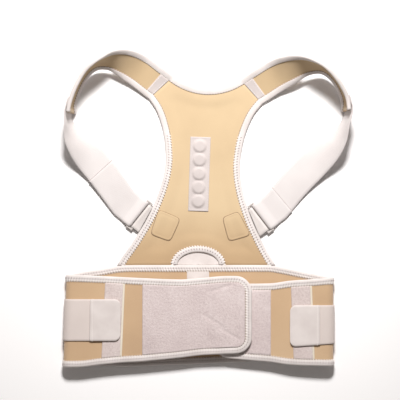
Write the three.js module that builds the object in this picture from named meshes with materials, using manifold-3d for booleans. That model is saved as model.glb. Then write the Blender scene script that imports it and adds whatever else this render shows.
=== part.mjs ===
// Posture corrector of neoprene and elastic, lying on a table with the inside of the back facing up.
// Millimetres. +X is the right hand edge, +Y runs up the back to the shoulders, +Z points up off the table.
// The origin is the middle of the narrowest part of the back yoke, on its lower face.
import * as THREE from "three";
import { mergeVertices } from "three/addons/utils/BufferGeometryUtils.js";
import Module from "manifold-3d";

const wasm = await Module();
wasm.setup();

// Driving sizes
const GAP = 0.3; // clear space between two neighbouring pieces
const NEOPRENE = 3; // thickness of yoke, shoulder straps and belt
const ELASTIC = 2; // thickness of the elastic straps
const PATCH = 1.2; // thickness of loop patches, tapes and tabs
const BIND_IN = 7.5; // how far the folded edge binding reaches over the sheet
const BIND_OUT = 1.5; // how far it stands outside the edge of the sheet
const BIND_WALL = 1.2; // thickness of the binding
const LEAN = -2.6; // degrees by which the yoke leans to the right of the belt
const WAIST_V = 150; // height of the narrowest part of the yoke above its foot
const STRAP_W = 47; // width of the neoprene of a shoulder strap
const ELASTIC_W = 45; // width of the elastic shoulder strap
const RING_BAR = 1.6; // radius of the bars of the strap rings
const RING_Z = 4.2; // height of the ring bars above the table
const FOLDBACK = { left: 84, right: 36 }; // length of elastic folded back from the ring
const BELT_HALF = 198; // half the width of the flattened belt
const BELT_X = -4.3; // centre of the belt
const BELT_TOP = -154.4; // upper edge of the belt at the yoke
const BELT_BACK_Z = 3.8; // middle of the back layer of the belt
const FOLD_R = 9; // radius of the belt's folds at the two sides
const FLAP_TIP_R = 22; // corner radius of the two flap ends
const LEFT_END = 76; // end of the left flap, from the belt's centre
const RIGHT_END = 21; // end of the right flap, from the belt's centre
const SIDE_SKEW = -5; // lean of the left hand fold at its lower end
const STRIP_SKEW = 4; // lean of the two upright loop strips over their height
const TAB_TALL = 61.5; // height of the side elastics and their tabs
const TAB_WALL = 1.6; // thickness of the side elastics and their tabs
const TAB_DROP = { left: 51, right: 60 }; // their upper edge below the belt's top
const BACK_REACH = 0.68; // how far the side elastics reach along the back, as share of the half width
const MAGNET_R = 10; // radius of the five magnets
const MAGNET_PITCH = 20.7; // distance between magnets
const STRIP = { w: 30, top: 37.5, bottom: -73.5 }; // magnet strip, from the origin

// Tables
// Height up the yoke and half width there, edge binding left out.
const YOKE_HALF = [
  [-9.5, 119.5], [3, 112.5], [15, 104.5], [33, 93.5], [63, 77.5], [93, 65.5], [120, 57.8],
  [145.5, 54.4], [168, 55.6], [190, 59.2], [213, 66.4], [228, 73.6], [241.8, 83.9],
];
const SEAM = { arm: [83.9, 241.8], neck: [50.7, 275] }; // ends of the seam between yoke and strap
// Half of the neck line from the middle to the seam.
const NECK = [[0, 259], [12, 260], [24, 262.6], [37, 267.4], [50.7, 275]];
// Shoulder strap: across, up, turn onto its edge in degrees, height of its lower edge.
const STRAP = {
  left: [
    [67.3, 258.4, 0, 1.5], [84, 270.2, 8, 2.5], [101.9, 282.5, 12, 5], [120.5, 291.2, 27, 8],
    [137.5, 294.2, 48, 11], [152.8, 291.6, 68, 12], [167, 285.4, 79, 12], [179.2, 273.8, 82, 10],
    [190, 254.1, 83, 7], [197.1, 232.3, 82, 4], [200.1, 214.6, 80, 2],
  ],
  right: [
    [67.3, 258.4, 0, 1.5], [84, 270.2, 8, 2.5], [102.3, 282.9, 12, 6], [120.7, 292.4, 27, 11],
    [139.2, 298.5, 47, 14], [156.4, 299.2, 66, 15], [172.8, 295.4, 79, 14], [187.1, 284.8, 84, 12],
    [198.4, 270.4, 84, 8], [206.4, 254.4, 82, 4], [210.3, 236.3, 80, 2],
  ],
};
// Elastic strap after the shoulder strap: across, up, turn, height of its lower edge.
const TAIL = {
  left: [
    [202.4, 198, 75, 1], [195.4, 180.9, 52, 0.4], [182.6, 163.8, 29, 0.2], [167.3, 146, 12, 0.1],
    [147.2, 123.9, 4, 0.1],
  ],
  right: [
    [209, 214.8, 74, 1], [199.4, 194.1, 52, 0.4], [185.2, 175.3, 29, 0.2], [165.5, 153.5, 12, 0.1],
    [140, 125, 4, 0.1],
  ],
};
// Middle of the elastic's fold at the ring, and the direction of the ring's bars in degrees.
const RING = { left: [91.3, 66.4, 126], right: [90.6, 70.2, 130] };
// Belt edges as share of the half width and drop below the belt's top.
const BACK_TOP = [
  [-1, 15], [-0.87, 9], [-0.735, 5], [-0.62, 1], [-0.53, 0], [0, 0], [0.515, 0], [0.59, 2],
  [0.758, 8.6], [0.87, 13], [1, 18],
];
const BACK_BOTTOM = [
  [-1, 152.5], [-0.76, 151], [-0.57, 152.5], [-0.38, 151], [0, 148], [0.34, 145], [0.42, 143.5],
  [0.61, 147.5], [0.83, 150.5], [1, 150.8],
];
const LEFT_TOP = [
  [-1, 14], [-0.76, 15.8], [-0.45, 18.8], [-0.15, 21], [0, 19], [0.19, 15.9], [0.39, 16.5],
];
const LEFT_BOTTOM = [
  [-1, 152.5], [-0.87, 152], [-0.76, 149], [-0.6, 145.8], [-0.45, 144], [-0.15, 138.3], [0, 134.6],
  [0.15, 132.9], [0.39, 131],
];
const RIGHT_TOP = [[0.1, 27], [0.53, 27], [0.68, 23], [0.83, 21], [1, 18]];
const RIGHT_BOTTOM = [[0.1, 137], [0.38, 142.5], [0.53, 144.8], [0.68, 149], [1, 150.8]];
// Height of the two front layers as share of the half width.
// Places of the belt's trimmings as shares of its half width, from and to.
const TRIM = {
  leftPanel: [-0.432, 0.34],
  hook: [0.227, 0.34],
  leftStrip: [-0.712, -0.58],
  leftTab: [-0.821, -0.598],
  rightPanel: [0.242, 0.534],
  rightStrip: [0.689, 0.83],
  rightTab: [0.682, 0.903],
};
// Corners of the sewn patches: share of the yoke's half width and height up the yoke.
const ANCHOR = {
  left: [[0.86, 75.2], [0.392, 63.2], [0.459, 29.5], [0.805, 38.7]],
  right: [[0.783, 77.6], [0.45, 67.6], [0.478, 33.6], [0.863, 44]],
};
const LEFT_Z = [[-0.95, 21.8], [-0.7, 21.5], [-0.3, 20.6], [0, 20.9], [0.15, 21.8], [0.4, 22.2]];
const RIGHT_Z = [[0.1, 15], [0.3, 15.1], [0.42, 15.6], [0.6, 17.6], [0.8, 20.6], [0.95, 21.8]];

const root = new THREE.Group();
const V = (x, y, z) => new THREE.Vector3(x, y, z);
const rad = THREE.MathUtils.degToRad;
const lerp = THREE.MathUtils.lerp;

// Materials
const cloth = (rgb, roughness) =>
  new THREE.MeshStandardMaterial({
    color: new THREE.Color().setRGB(rgb[0] / 255, rgb[1] / 255, rgb[2] / 255, THREE.SRGBColorSpace),
    roughness,
    metalness: 0,
  });
const beige = cloth([236, 206, 166], 0.9);
const whiteTape = cloth([246, 238, 237], 0.8);
const whiteElastic = cloth([246, 240, 240], 0.85);
const loopPile = cloth([228, 211, 210], 0.95);
const whitePlastic = cloth([244, 241, 239], 0.4);
const magnetSteel = new THREE.MeshStandardMaterial({ color: 0xb9b9bb, roughness: 0.35, metalness: 1 });

function add(name, geometry, material) {
  const mesh = new THREE.Mesh(geometry, material);
  mesh.name = name;
  root.add(mesh);
  return mesh;
}

// Smooth value from a table of [place, value] rows.
function curve(table, x) {
  const last = table.length - 1;
  let i = 0;
  while (i < last - 1 && x > table[i + 1][0]) i += 1;
  const slope = (k) => {
    const a = table[Math.max(0, k - 1)];
    const b = table[Math.min(last, k + 1)];
    return (b[1] - a[1]) / (b[0] - a[0]);
  };
  const [x0, y0] = table[i];
  const [x1, y1] = table[i + 1];
  const w = x1 - x0;
  const s = THREE.MathUtils.clamp((x - x0) / w, 0, 1);
  const s2 = s * s;
  const s3 = s2 * s;
  return (
    (2 * s3 - 3 * s2 + 1) * y0 +
    (s3 - 2 * s2 + s) * w * slope(i) +
    (3 * s2 - 2 * s3) * y1 +
    (s3 - s2) * w * slope(i + 1)
  );
}

// Geometry from points and triangles, turned so that its faces point outwards.
function closed(points, triangles) {
  let volume = 0;
  for (const [a, b, c] of triangles) {
    volume += points[a].dot(V(0, 0, 0).crossVectors(points[b], points[c]));
  }
  const order = volume < 0 ? triangles.map(([a, b, c]) => [a, c, b]) : triangles;
  const geometry = new THREE.BufferGeometry();
  geometry.setAttribute("position", new THREE.Float32BufferAttribute(points.flatMap((p) => [p.x, p.y, p.z]), 3));
  geometry.setIndex(order.flat());
  geometry.computeVertexNormals();
  return geometry;
}

// Unit normals of a grid of points.
function gridNormals(grid) {
  const rows = grid.length;
  const cols = grid[0].length;
  return grid.map((row, i) =>
    row.map((p, j) => {
      const di = V(0, 0, 0).subVectors(grid[Math.min(rows - 1, i + 1)][j], grid[Math.max(0, i - 1)][j]);
      const dj = V(0, 0, 0).subVectors(row[Math.min(cols - 1, j + 1)], row[Math.max(0, j - 1)]);
      return di.cross(dj).normalize();
    }),
  );
}

// Sheet of even thickness about a grid of points, lifted off it by an offset along the normals.
// turned picks the cells that are split along their other diagonal.
function sheet(grid, thickness, offset = 0, normals = gridNormals(grid), turned = () => false) {
  const rows = grid.length;
  const cols = grid[0].length;
  const points = [];
  for (const side of [0.5, -0.5]) {
    grid.forEach((row, i) =>
      row.forEach((p, j) => points.push(p.clone().addScaledVector(normals[i][j], offset + side * thickness))),
    );
  }
  const at = (side, i, j) => side * rows * cols + i * cols + j;
  const triangles = [];
  for (let i = 0; i + 1 < rows; i += 1) {
    for (let j = 0; j + 1 < cols; j += 1) {
      for (const side of [0, 1]) {
        const [a, b] = [at(side, i, j), at(side, i + 1, j)];
        const [c, d] = [at(side, i + 1, j + 1), at(side, i, j + 1)];
        const cell = turned(i, j) ? [[a, b, d], [b, c, d]] : [[a, b, c], [a, c, d]];
        cell.forEach(([p, q, r]) => triangles.push(side === 0 ? [p, q, r] : [p, r, q]));
      }
    }
  }
  const rim = [];
  for (let j = 0; j < cols; j += 1) rim.push([0, j]);
  for (let i = 1; i < rows; i += 1) rim.push([i, cols - 1]);
  for (let j = cols - 2; j >= 0; j -= 1) rim.push([rows - 1, j]);
  for (let i = rows - 2; i > 0; i -= 1) rim.push([i, 0]);
  rim.forEach(([i, j], k) => {
    const [m, n] = rim[(k + 1) % rim.length];
    triangles.push([at(0, i, j), at(0, m, n), at(1, m, n)]);
    triangles.push([at(0, i, j), at(1, m, n), at(1, i, j)]);
  });
  return closed(points, triangles);
}

// Directions out of a sheet at its edge. outward is +1 or -1 and picks the side away from the sheet.
function outs(samples, outward, loop = false) {
  const count = samples.length;
  return samples.map(({ n, out }, i) => {
    if (out) return out;
    const before = samples[loop ? (i + count - 1) % count : Math.max(0, i - 1)].e;
    const after = samples[loop ? (i + 1) % count : Math.min(count - 1, i + 1)].e;
    const along = V(0, 0, 0).subVectors(after, before).normalize();
    return V(0, 0, 0).crossVectors(along, n).normalize().multiplyScalar(outward);
  });
}

// Edge binding folded over a sheet's edge. Each sample has the edge point e, the sheet's normal n and,
// where it is known, the direction out of the sheet.
function binding(samples, outward, loop = false) {
  const away = outs(samples, outward, loop);
  const h = NEOPRENE / 2 + GAP;
  const top = h + BIND_WALL;
  const profile = [
    [-BIND_IN, top], [BIND_OUT, top], [BIND_OUT, -top], [-BIND_IN, -top],
    [-BIND_IN, -h], [GAP, -h], [GAP, h], [-BIND_IN, h],
  ];
  const count = samples.length;
  const size = profile.length;
  const points = [];
  samples.forEach(({ e, n }, i) => {
    profile.forEach(([a, b]) => points.push(e.clone().addScaledVector(away[i], a).addScaledVector(n, b)));
  });
  const triangles = [];
  for (let i = 0; i < (loop ? count : count - 1); i += 1) {
    for (let k = 0; k < size; k += 1) {
      const a = i * size + k;
      const b = i * size + ((k + 1) % size);
      const c = ((i + 1) % count) * size + ((k + 1) % size);
      const d = ((i + 1) % count) * size + k;
      if (k === 2 || k === 6) triangles.push([a, b, d], [b, c, d]);
      else triangles.push([a, b, c], [a, c, d]);
    }
  }
  if (!loop) {
    const cap = [[0, 1, 6], [0, 6, 7], [1, 2, 5], [1, 5, 6], [2, 3, 4], [2, 4, 5]];
    const end = (count - 1) * size;
    cap.forEach(([a, b, c]) => {
      triangles.push([a, c, b]);
      triangles.push([end + a, end + b, end + c]);
    });
  }
  return closed(points, triangles);
}

// Yoke frame to the part's frame: the yoke leans about its foot.
const lean = rad(LEAN);
function leaned(u, v, z) {
  const w = v - WAIST_V;
  return V(u * Math.cos(lean) - w * Math.sin(lean), u * Math.sin(lean) + w * Math.cos(lean), z);
}

// Yoke: a sheet stretched between its two arm edges, its foot with the arch, and the neck line.
const FOOT_Y = BELT_TOP + 0.3;
const ARCH = { x: -7, halfWidth: 32.5, height: 20.5, steps: 8 };
const ROWS = 16;
const EDGE_Z = NEOPRENE;
const footV = (sign) => {
  let v = 0;
  for (let k = 0; k < 30; k += 1) v -= leaned(sign * curve(YOKE_HALF, v), v, 0).y - FOOT_Y;
  return v;
};
const armEdge = (sign) => {
  const v0 = footV(sign);
  return Array.from({ length: ROWS + 1 }, (_, i) => {
    const v = lerp(v0, SEAM.arm[1], i / ROWS);
    return leaned(sign * curve(YOKE_HALF, v), v, EDGE_Z);
  });
};
const leftArm = armEdge(-1);
const rightArm = armEdge(1);
const seamEdge = (sign) =>
  [0, 0.25, 0.5, 0.75, 1].map((t) =>
    leaned(sign * lerp(SEAM.arm[0], SEAM.neck[0], t), lerp(SEAM.arm[1], SEAM.neck[1], t), EDGE_Z),
  );
const neckEdge = [];
for (let k = -6; k <= 6; k += 1) {
  const u = (k / 6) * SEAM.neck[0];
  neckEdge.push(leaned(u, curve(NECK, Math.abs(u)), EDGE_Z));
}
const topEdge = [...seamEdge(-1), ...neckEdge.slice(1, -1), ...seamEdge(1).reverse()];
const archEdge = Array.from({ length: ARCH.steps + 1 }, (_, k) => {
  const a = Math.PI * (1 - k / ARCH.steps);
  return V(ARCH.x + ARCH.halfWidth * Math.cos(a), FOOT_Y + ARCH.height * Math.sin(a), EDGE_Z);
});
const run = (a, b, steps) => Array.from({ length: steps }, (_, k) => a.clone().lerp(b, k / steps));
const footEdge = [
  ...run(leftArm[0], archEdge[0], 6),
  ...archEdge,
  ...run(rightArm[0], archEdge[ARCH.steps], 6).reverse(),
];
const COLS = topEdge.length - 1;

// The yoke lies on the table in its middle and rises to the height of the edge binding at its border.
const outline = [...footEdge, ...rightArm.slice(1), ...[...topEdge].reverse().slice(1), ...[...leftArm].reverse().slice(1)];
function edgeDistance(x, y) {
  let best = Infinity;
  outline.forEach((a, k) => {
    const b = outline[(k + 1) % outline.length];
    const w = (b.x - a.x) ** 2 + (b.y - a.y) ** 2;
    if (w < 1e-9) return;
    const t = THREE.MathUtils.clamp(((x - a.x) * (b.x - a.x) + (y - a.y) * (b.y - a.y)) / w, 0, 1);
    best = Math.min(best, Math.hypot(x - a.x - t * (b.x - a.x), y - a.y - t * (b.y - a.y)));
  });
  return best;
}
const yokeZ = (x, y) => NEOPRENE / 2 + 1.5 * (1 - THREE.MathUtils.smoothstep(edgeDistance(x, y), 14, 30));

const yokeGrid = [];
for (let i = 0; i <= ROWS; i += 1) {
  const t = i / ROWS;
  const row = [];
  for (let j = 0; j <= COLS; j += 1) {
    const s = j / COLS;
    const p = V(0, 0, 0)
      .addScaledVector(footEdge[j], 1 - t)
      .addScaledVector(topEdge[j], t)
      .addScaledVector(leftArm[i], 1 - s)
      .addScaledVector(rightArm[i], s)
      .addScaledVector(footEdge[0], -(1 - s) * (1 - t))
      .addScaledVector(footEdge[COLS], -s * (1 - t))
      .addScaledVector(topEdge[0], -(1 - s) * t)
      .addScaledVector(topEdge[COLS], -s * t);
    p.z = yokeZ(p.x, p.y);
    row.push(p);
  }
  yokeGrid.push(row);
}
const up = V(0, 0, 1);
const flatNormals = yokeGrid.map((row) => row.map(() => up));
add("back_yoke", sheet(yokeGrid, NEOPRENE, 0, flatNormals), beige);

const flat = (e) => ({ e, n: up });
const archSamples = archEdge.map(flat);
archSamples[0].out = V(1, 0, 0);
archSamples[ARCH.steps].out = V(-1, 0, 0);
add("arch_binding", binding(archSamples, 1), whiteTape);
const archOut = outs(archSamples, 1);
const archRim = archEdge.map((e, k) => e.clone().addScaledVector(archOut[k], BIND_OUT + GAP));
const archShape = new THREE.Shape(archRim.map((p) => new THREE.Vector2(p.x, p.y)));
const archPanel = new THREE.ExtrudeGeometry(archShape, { depth: PATCH, bevelEnabled: false });
add("arch_panel", archPanel, whiteTape).position.z = 1.5;

// Shoulder straps
function stations(side, table) {
  const sign = side === "left" ? -1 : 1;
  return table.map(([u, v, turn, low]) => ({ p: leaned(sign * u, v, 0), turn: rad(turn), low }));
}
// Rows across a strap that follows the stations: centre, direction from arm side to outer side, and turn.
function rowsAlong(side, list, count) {
  const sign = side === "left" ? -1 : 1;
  const path = new THREE.CatmullRomCurve3(list.map((s) => s.p), false, "centripetal");
  return Array.from({ length: count + 1 }, (_, i) => {
    const t = i / count;
    const p = path.getPoint(t);
    const d = path.getTangent(t);
    const place = t * (list.length - 1);
    const k = Math.min(list.length - 2, Math.floor(place));
    const f = place - k;
    const turn = lerp(list[k].turn, list[k + 1].turn, f);
    const low = lerp(list[k].low, list[k + 1].low, f);
    return { p, out: V(-d.y * sign, d.x * sign, 0).normalize(), turn, low, width: 0 };
  });
}
const across = (r) => r.out.clone().multiplyScalar(Math.cos(r.turn)).add(V(0, 0, Math.sin(r.turn)));
const EVEN = [0, 0.5, 1];
const BOUND = [0, BIND_IN / STRAP_W, 0.5, 1 - BIND_IN / STRAP_W, 1];
function gridOf(rows, width, thickness, shares) {
  return rows.map((r) => {
    const c = across(r);
    const mid = r.p.clone();
    mid.z = r.low + (width / 2) * Math.sin(r.turn) + (thickness / 2) * Math.cos(r.turn);
    return shares.map((share) => mid.clone().addScaledVector(c, width * (share - 0.5)));
  });
}
const STRAP_ROWS = 18;
const FOOT_SPREAD = 1.15; // the arm binding is cut level at its foot, which widens its end
const straps = {};
for (const side of ["left", "right"]) {
  const sign = side === "left" ? -1 : 1;
  const list = stations(side, STRAP[side]);
  const rows = rowsAlong(side, list, STRAP_ROWS);
  rows[0].out = leaned(sign * SEAM.neck[0], SEAM.neck[1], 0).sub(leaned(sign * SEAM.arm[0], SEAM.arm[1], 0)).normalize();
  const grid = gridOf(rows, STRAP_W, NEOPRENE, BOUND);
  const normals = gridNormals(grid);
  const heads = side === "left" ? -1 : 1;
  if (normals[0][0].z * heads < 0) normals.forEach((row) => row.forEach((n) => n.negate()));
  const facing = normals.map((row) => row.map((n) => n.clone().multiplyScalar(heads)));
  facing[0] = facing[0].map(() => up);
  // The strap starts just past the seam, its binding goes on from the yoke's binding.
  const start = grid.map((row) => row.map((p) => p.clone()));
  start[0] = start[0].map((p, j) => p.clone().lerp(start[1][j], GAP / p.distanceTo(start[1][j])));
  // Its border cells are split like the folded tape over them.
  const turned = (i, j) => j === 0 || (j === 3 && side === "left");
  add(`shoulder_strap_${side}`, sheet(start, NEOPRENE, 0, facing, turned), beige);
  const arm = side === "left" ? leftArm : rightArm;
  const rowEdge = (a, b) => (row, i) => ({ e: row[a], n: facing[i + 1][a], out: row[a].clone().sub(row[b]).normalize() });
  const lower = grid.slice(1).map(rowEdge(0, 1));
  const upper = grid.slice(1).map(rowEdge(4, 3));
  const samples = [...arm.map(flat), ...lower];
  samples[0].out = V(sign * FOOT_SPREAD, 0, 0);
  samples[ROWS].out = rows[0].out.clone().negate();
  add(`arm_binding_${side}`, binding(samples, sign), whiteTape);
  straps[side] = { rows, grid, facing, upper };
  // Tape over the start of the strap
  const tapeRows = [0.15, 1.25].map((place) => {
    const k = Math.floor(place);
    const inset = (BIND_IN + GAP + 0.3) / STRAP_W;
    return [inset, 0.5, 1 - inset].map((share) => {
      const at = (g) => g[0].clone().lerp(g[4], share);
      return at(grid[k]).lerp(at(grid[k + 1]), place - k);
    });
  });
  const tapeNormals = tapeRows.map((row, i) => row.map(() => facing[i][2]));
  add(`seam_tape_${side}`, sheet(tapeRows, PATCH, NEOPRENE / 2 + 0.5 + PATCH / 2, tapeNormals), whiteTape);
}
const neckSamples = [...[...straps.left.upper].reverse(), ...neckEdge.map(flat), ...straps.right.upper];
neckSamples[STRAP_ROWS].out = straps.left.rows[0].out;
neckSamples[STRAP_ROWS + neckEdge.length - 1].out = straps.right.rows[0].out;
add("neck_binding", binding(neckSamples, -1), whiteTape);

// Elastic straps: from the outside of the shoulder strap's end down to the table, through the ring and back.
for (const side of ["left", "right"]) {
  const sign = side === "left" ? -1 : 1;
  const last = straps[side].rows.slice(-3);
  const begin = last.map((r) => ({ p: r.p.clone().addScaledVector(r.out, 5), turn: r.turn, low: r.low + 1 }));
  const [ru, rv, ra] = RING[side];
  const bar = leaned(-sign * Math.cos(rad(ra)), WAIST_V - Math.sin(rad(ra)), 0).sub(leaned(0, WAIST_V, 0)).normalize();
  const inward = V(bar.y * sign, -bar.x * sign, 0);
  const fold = leaned(sign * ru, rv, 0);
  const near = [60, 30].map((d) => ({ p: fold.clone().addScaledVector(inward, -d), turn: 0, low: 0.1 }));
  const list = [...begin, ...stations(side, TAIL[side]), near[1]];
  const rows = rowsAlong(side, list, 22);
  const lowerGrid = gridOf(rows, ELASTIC_W, ELASTIC, EVEN);
  const wrap = RING_BAR + GAP + ELASTIC / 2;
  const barA = fold.clone().addScaledVector(inward, -(wrap + ELASTIC / 2)).setZ(RING_Z);
  const rowAt = (p) => [-0.5, 0, 0.5].map((t) => p.clone().addScaledVector(bar, t * ELASTIC_W));
  const end = rows[rows.length - 1];
  lowerGrid[lowerGrid.length - 1] = rowAt(V(end.p.x, end.p.y, 0.1 + ELASTIC / 2));
  lowerGrid.push(rowAt(barA.clone().addScaledVector(inward, -14).setZ(0.1 + ELASTIC / 2)));
  for (let k = 0; k <= 6; k += 1) {
    const a = -Math.PI / 2 + (Math.PI * k) / 6;
    lowerGrid.push(rowAt(barA.clone().addScaledVector(inward, wrap * Math.cos(a)).setZ(RING_Z + wrap * Math.sin(a))));
  }
  lowerGrid.push(rowAt(barA.clone().addScaledVector(inward, -14).setZ(0.1 + ELASTIC * 1.5 + 0.9)));
  // The folded back end lies on the strap it came from.
  const layer = gridOf(rows, ELASTIC_W, ELASTIC, EVEN);
  layer[layer.length - 1] = rowAt(V(end.p.x, end.p.y, 0.1 + ELASTIC / 2));
  let left = FOLDBACK[side] - 14;
  let previous = lowerGrid[lowerGrid.length - 1][1].clone().setZ(0);
  for (let k = layer.length - 1; k > 0 && left > 1; k -= 1) {
    const here = layer[k][1].clone().setZ(0);
    const step = previous.distanceTo(here);
    const share = Math.min(1, left / step);
    const row = layer[k].map((p, j) => {
      const back = lowerGrid[lowerGrid.length - 1][j];
      const q = p.clone();
      q.z += ELASTIC + 0.8;
      return share < 1 ? back.clone().lerp(q, share) : q;
    });
    lowerGrid.push(row);
    previous = here;
    left -= step;
  }
  add(`elastic_strap_${side}`, sheet(lowerGrid, ELASTIC), whiteElastic);

  // Ring: a flat rectangular frame of round bars
  const spacing = 8;
  const barB = barA.clone().addScaledVector(inward, spacing);
  const half = ELASTIC_W / 2 + GAP + RING_BAR + 0.2;
  const corners = [
    barA.clone().addScaledVector(bar, half), barA.clone().addScaledVector(bar, -half),
    barB.clone().addScaledVector(bar, -half), barB.clone().addScaledVector(bar, half),
  ];
  const middle = corners[0].clone().add(corners[2]).multiplyScalar(0.5);
  const points = [];
  const triangles = [];
  corners.forEach((c, i) => {
    const out = V(0, 0, 0);
    const before = corners[(i + 3) % 4];
    const after = corners[(i + 1) % 4];
    out.add(c.clone().sub(before).normalize()).add(c.clone().sub(after).normalize());
    for (let k = 0; k < 8; k += 1) {
      const a = (Math.PI * k) / 4 + Math.PI / 8;
      points.push(c.clone().addScaledVector(out, RING_BAR * Math.cos(a)).add(V(0, 0, RING_BAR * Math.sin(a))));
      const n = ((i + 1) % 4) * 8;
      const m = (k + 1) % 8;
      triangles.push([i * 8 + k, i * 8 + m, n + m], [i * 8 + k, n + m, n + k]);
    }
  });
  add(`strap_ring_${side}`, closed(points.map((p) => p.sub(middle)), triangles), whitePlastic).position.copy(middle);

  // Keeper: a loop of tape from the edge of the yoke round the ring
  const round = RING_BAR + GAP + PATCH / 2;
  const sides = [-0.46, 0.46].map((t) => barB.clone().addScaledVector(bar, t * ELASTIC_W));
  const arm = side === "left" ? leftArm : rightArm;
  const reach = sides.map((p) => {
    let far = 0;
    for (let d = 1; d < 30; d += 0.1) {
      const q = p.clone().addScaledVector(inward, d);
      const clear = arm.every((e, k) => {
        if (k === 0) return true;
        const s = e.clone().sub(arm[k - 1]);
        const w = q.clone().sub(arm[k - 1]).setZ(0);
        const t = THREE.MathUtils.clamp((w.x * s.x + w.y * s.y) / (s.x * s.x + s.y * s.y), 0, 1);
        return Math.hypot(w.x - s.x * t, w.y - s.y * t) > BIND_OUT + 0.5;
      });
      if (!clear) break;
      far = d;
    }
    return far;
  });
  const keeperRow = (along, z) => [0, 0.5, 1].map((t) => {
    const p = sides[0].clone().lerp(sides[1], t);
    return p.addScaledVector(inward, along(t)).setZ(z);
  });
  const keeper = [keeperRow((t) => lerp(reach[0], reach[1], t), RING_Z - 1.2)];
  for (let k = 0; k <= 6; k += 1) {
    const a = -Math.PI / 2 - (Math.PI * k) / 6;
    keeper.push(keeperRow(() => round * Math.cos(a), RING_Z + round * Math.sin(a)));
  }
  keeper.push(keeperRow((t) => lerp(reach[0], reach[1], t), RING_Z + 1.2));
  add(`keeper_${side}`, sheet(keeper, PATCH), whiteTape);
}

// Anchor patches on the yoke where the keepers are sewn on, and the strip with the magnets.
for (const side of ["left", "right"]) {
  const sign = side === "left" ? -1 : 1;
  const [a, b, c, d] = ANCHOR[side].map(([share, v]) => leaned(sign * share * curve(YOKE_HALF, v), v, 0));
  const grid = [];
  for (let i = 0; i <= 6; i += 1) {
    const p = a.clone().lerp(d, i / 6);
    const q = b.clone().lerp(c, i / 6);
    grid.push(Array.from({ length: 7 }, (_, j) => {
      const r = p.clone().lerp(q, j / 6);
      r.z = yokeZ(r.x, r.y) + NEOPRENE / 2 + 0.6;
      return r;
    }));
  }
  add(`anchor_patch_${side}`, sheet(grid, 0.9, 0.45, grid.map((row) => row.map(() => up))), beige);
}

const magnets = new THREE.Group();
magnets.rotation.z = rad(LEAN + 0.8);
magnets.position.set(-4.6, 0, NEOPRENE + GAP);
const solid = (g) => {
  const m = mergeVertices(new THREE.BufferGeometry().setAttribute("position", g.getAttribute("position")).setIndex(g.getIndex()), 1e-4);
  return new wasm.Manifold(
    new wasm.Mesh({ numProp: 3, vertProperties: m.attributes.position.array, triVerts: new Uint32Array(m.index.array) }),
  );
};
const disc = (r0, r1, h, z) => solid(new THREE.CylinderGeometry(r1, r0, h, 20).rotateX(Math.PI / 2).translate(0, 0, z + h / 2));
const TAPE = 1.1; // thickness of the strip's tape
const MAGNET_H = 1.6; // thickness of a magnet
const stripTall = STRIP.top - STRIP.bottom;
let strip = solid(new THREE.BoxGeometry(STRIP.w, stripTall, TAPE).translate(0, (STRIP.top + STRIP.bottom) / 2, TAPE / 2));
const magnetY = [2, 1, 0, -1, -2].map((k) => (STRIP.top + STRIP.bottom) / 2 + 0.6 + k * MAGNET_PITCH);
magnetY.forEach((y) => {
  strip = strip.add(disc(MAGNET_R + 1, MAGNET_R - 1.5, 2.6, 0.4).translate([0, y, 0]));
});
magnetY.forEach((y) => {
  strip = strip.subtract(disc(MAGNET_R - 1.6, MAGNET_R - 1.6, MAGNET_H + GAP + 1, -1).translate([0, y, 0]));
});
const stripMesh = strip.getMesh();
const stripGeometry = new THREE.BufferGeometry();
stripGeometry.setAttribute("position", new THREE.Float32BufferAttribute(stripMesh.vertProperties, 3));
stripGeometry.setIndex([...stripMesh.triVerts]);
stripGeometry.computeVertexNormals();
const stripNode = new THREE.Mesh(stripGeometry, whiteTape);
stripNode.name = "magnet_strip";
magnets.add(stripNode);
magnetY.forEach((y, k) => {
  const m = new THREE.Mesh(new THREE.CylinderGeometry(MAGNET_R - 2, MAGNET_R - 2, MAGNET_H, 20), magnetSteel);
  m.name = `magnet_${k + 1}`;
  m.rotation.x = Math.PI / 2;
  m.position.set(0, y, MAGNET_H / 2);
  magnets.add(m);
});
root.add(magnets);

// Belt: one sheet that runs from the right flap round the right fold, along the back and round the left fold.
// Every sample of the path has its place, height, outward direction and the two edge tables it uses.
const path = [];
const foldX = BELT_HALF - FOLD_R;
const layer = (from, to, count, height, name) => {
  for (let i = 0; i <= count; i += 1) {
    const x = lerp(from, to, i / count);
    path.push({ x, z: height(x), name });
  }
};
const corner = (end, sign, height, name) => {
  for (let i = 1; i <= 5; i += 1) {
    const a = (Math.PI / 2) * (i / 5);
    const x = end - sign * FLAP_TIP_R * (1 - Math.sin(a));
    path.push({ x, z: height(x), name, drop: FLAP_TIP_R * (1 - Math.cos(a)) });
  }
};
const rightZ = (x) => curve(RIGHT_Z, x / BELT_HALF);
const leftZ = (x) => curve(LEFT_Z, x / BELT_HALF);
corner(RIGHT_END, -1, rightZ, "right");
path.reverse();
layer(RIGHT_END + FLAP_TIP_R, foldX, 8, rightZ, "right");
const turnRound = (sign) => {
  for (let k = 1; k < 6; k += 1) {
    const a = (Math.PI / 6) * k;
    const s = sign > 0 ? Math.sin(a) : -Math.sin(a);
    const c = sign > 0 ? Math.cos(a) : -Math.cos(a);
    path.push({ x: sign * foldX + s * FOLD_R, z: BELT_BACK_Z + FOLD_R + c * FOLD_R, name: "fold" });
  }
};
turnRound(1);
layer(foldX, -foldX, 16, () => BELT_BACK_Z, "back");
turnRound(-1);
layer(-foldX, LEFT_END - FLAP_TIP_R, 10, leftZ, "left");
corner(LEFT_END, 1, leftZ, "left");

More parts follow.
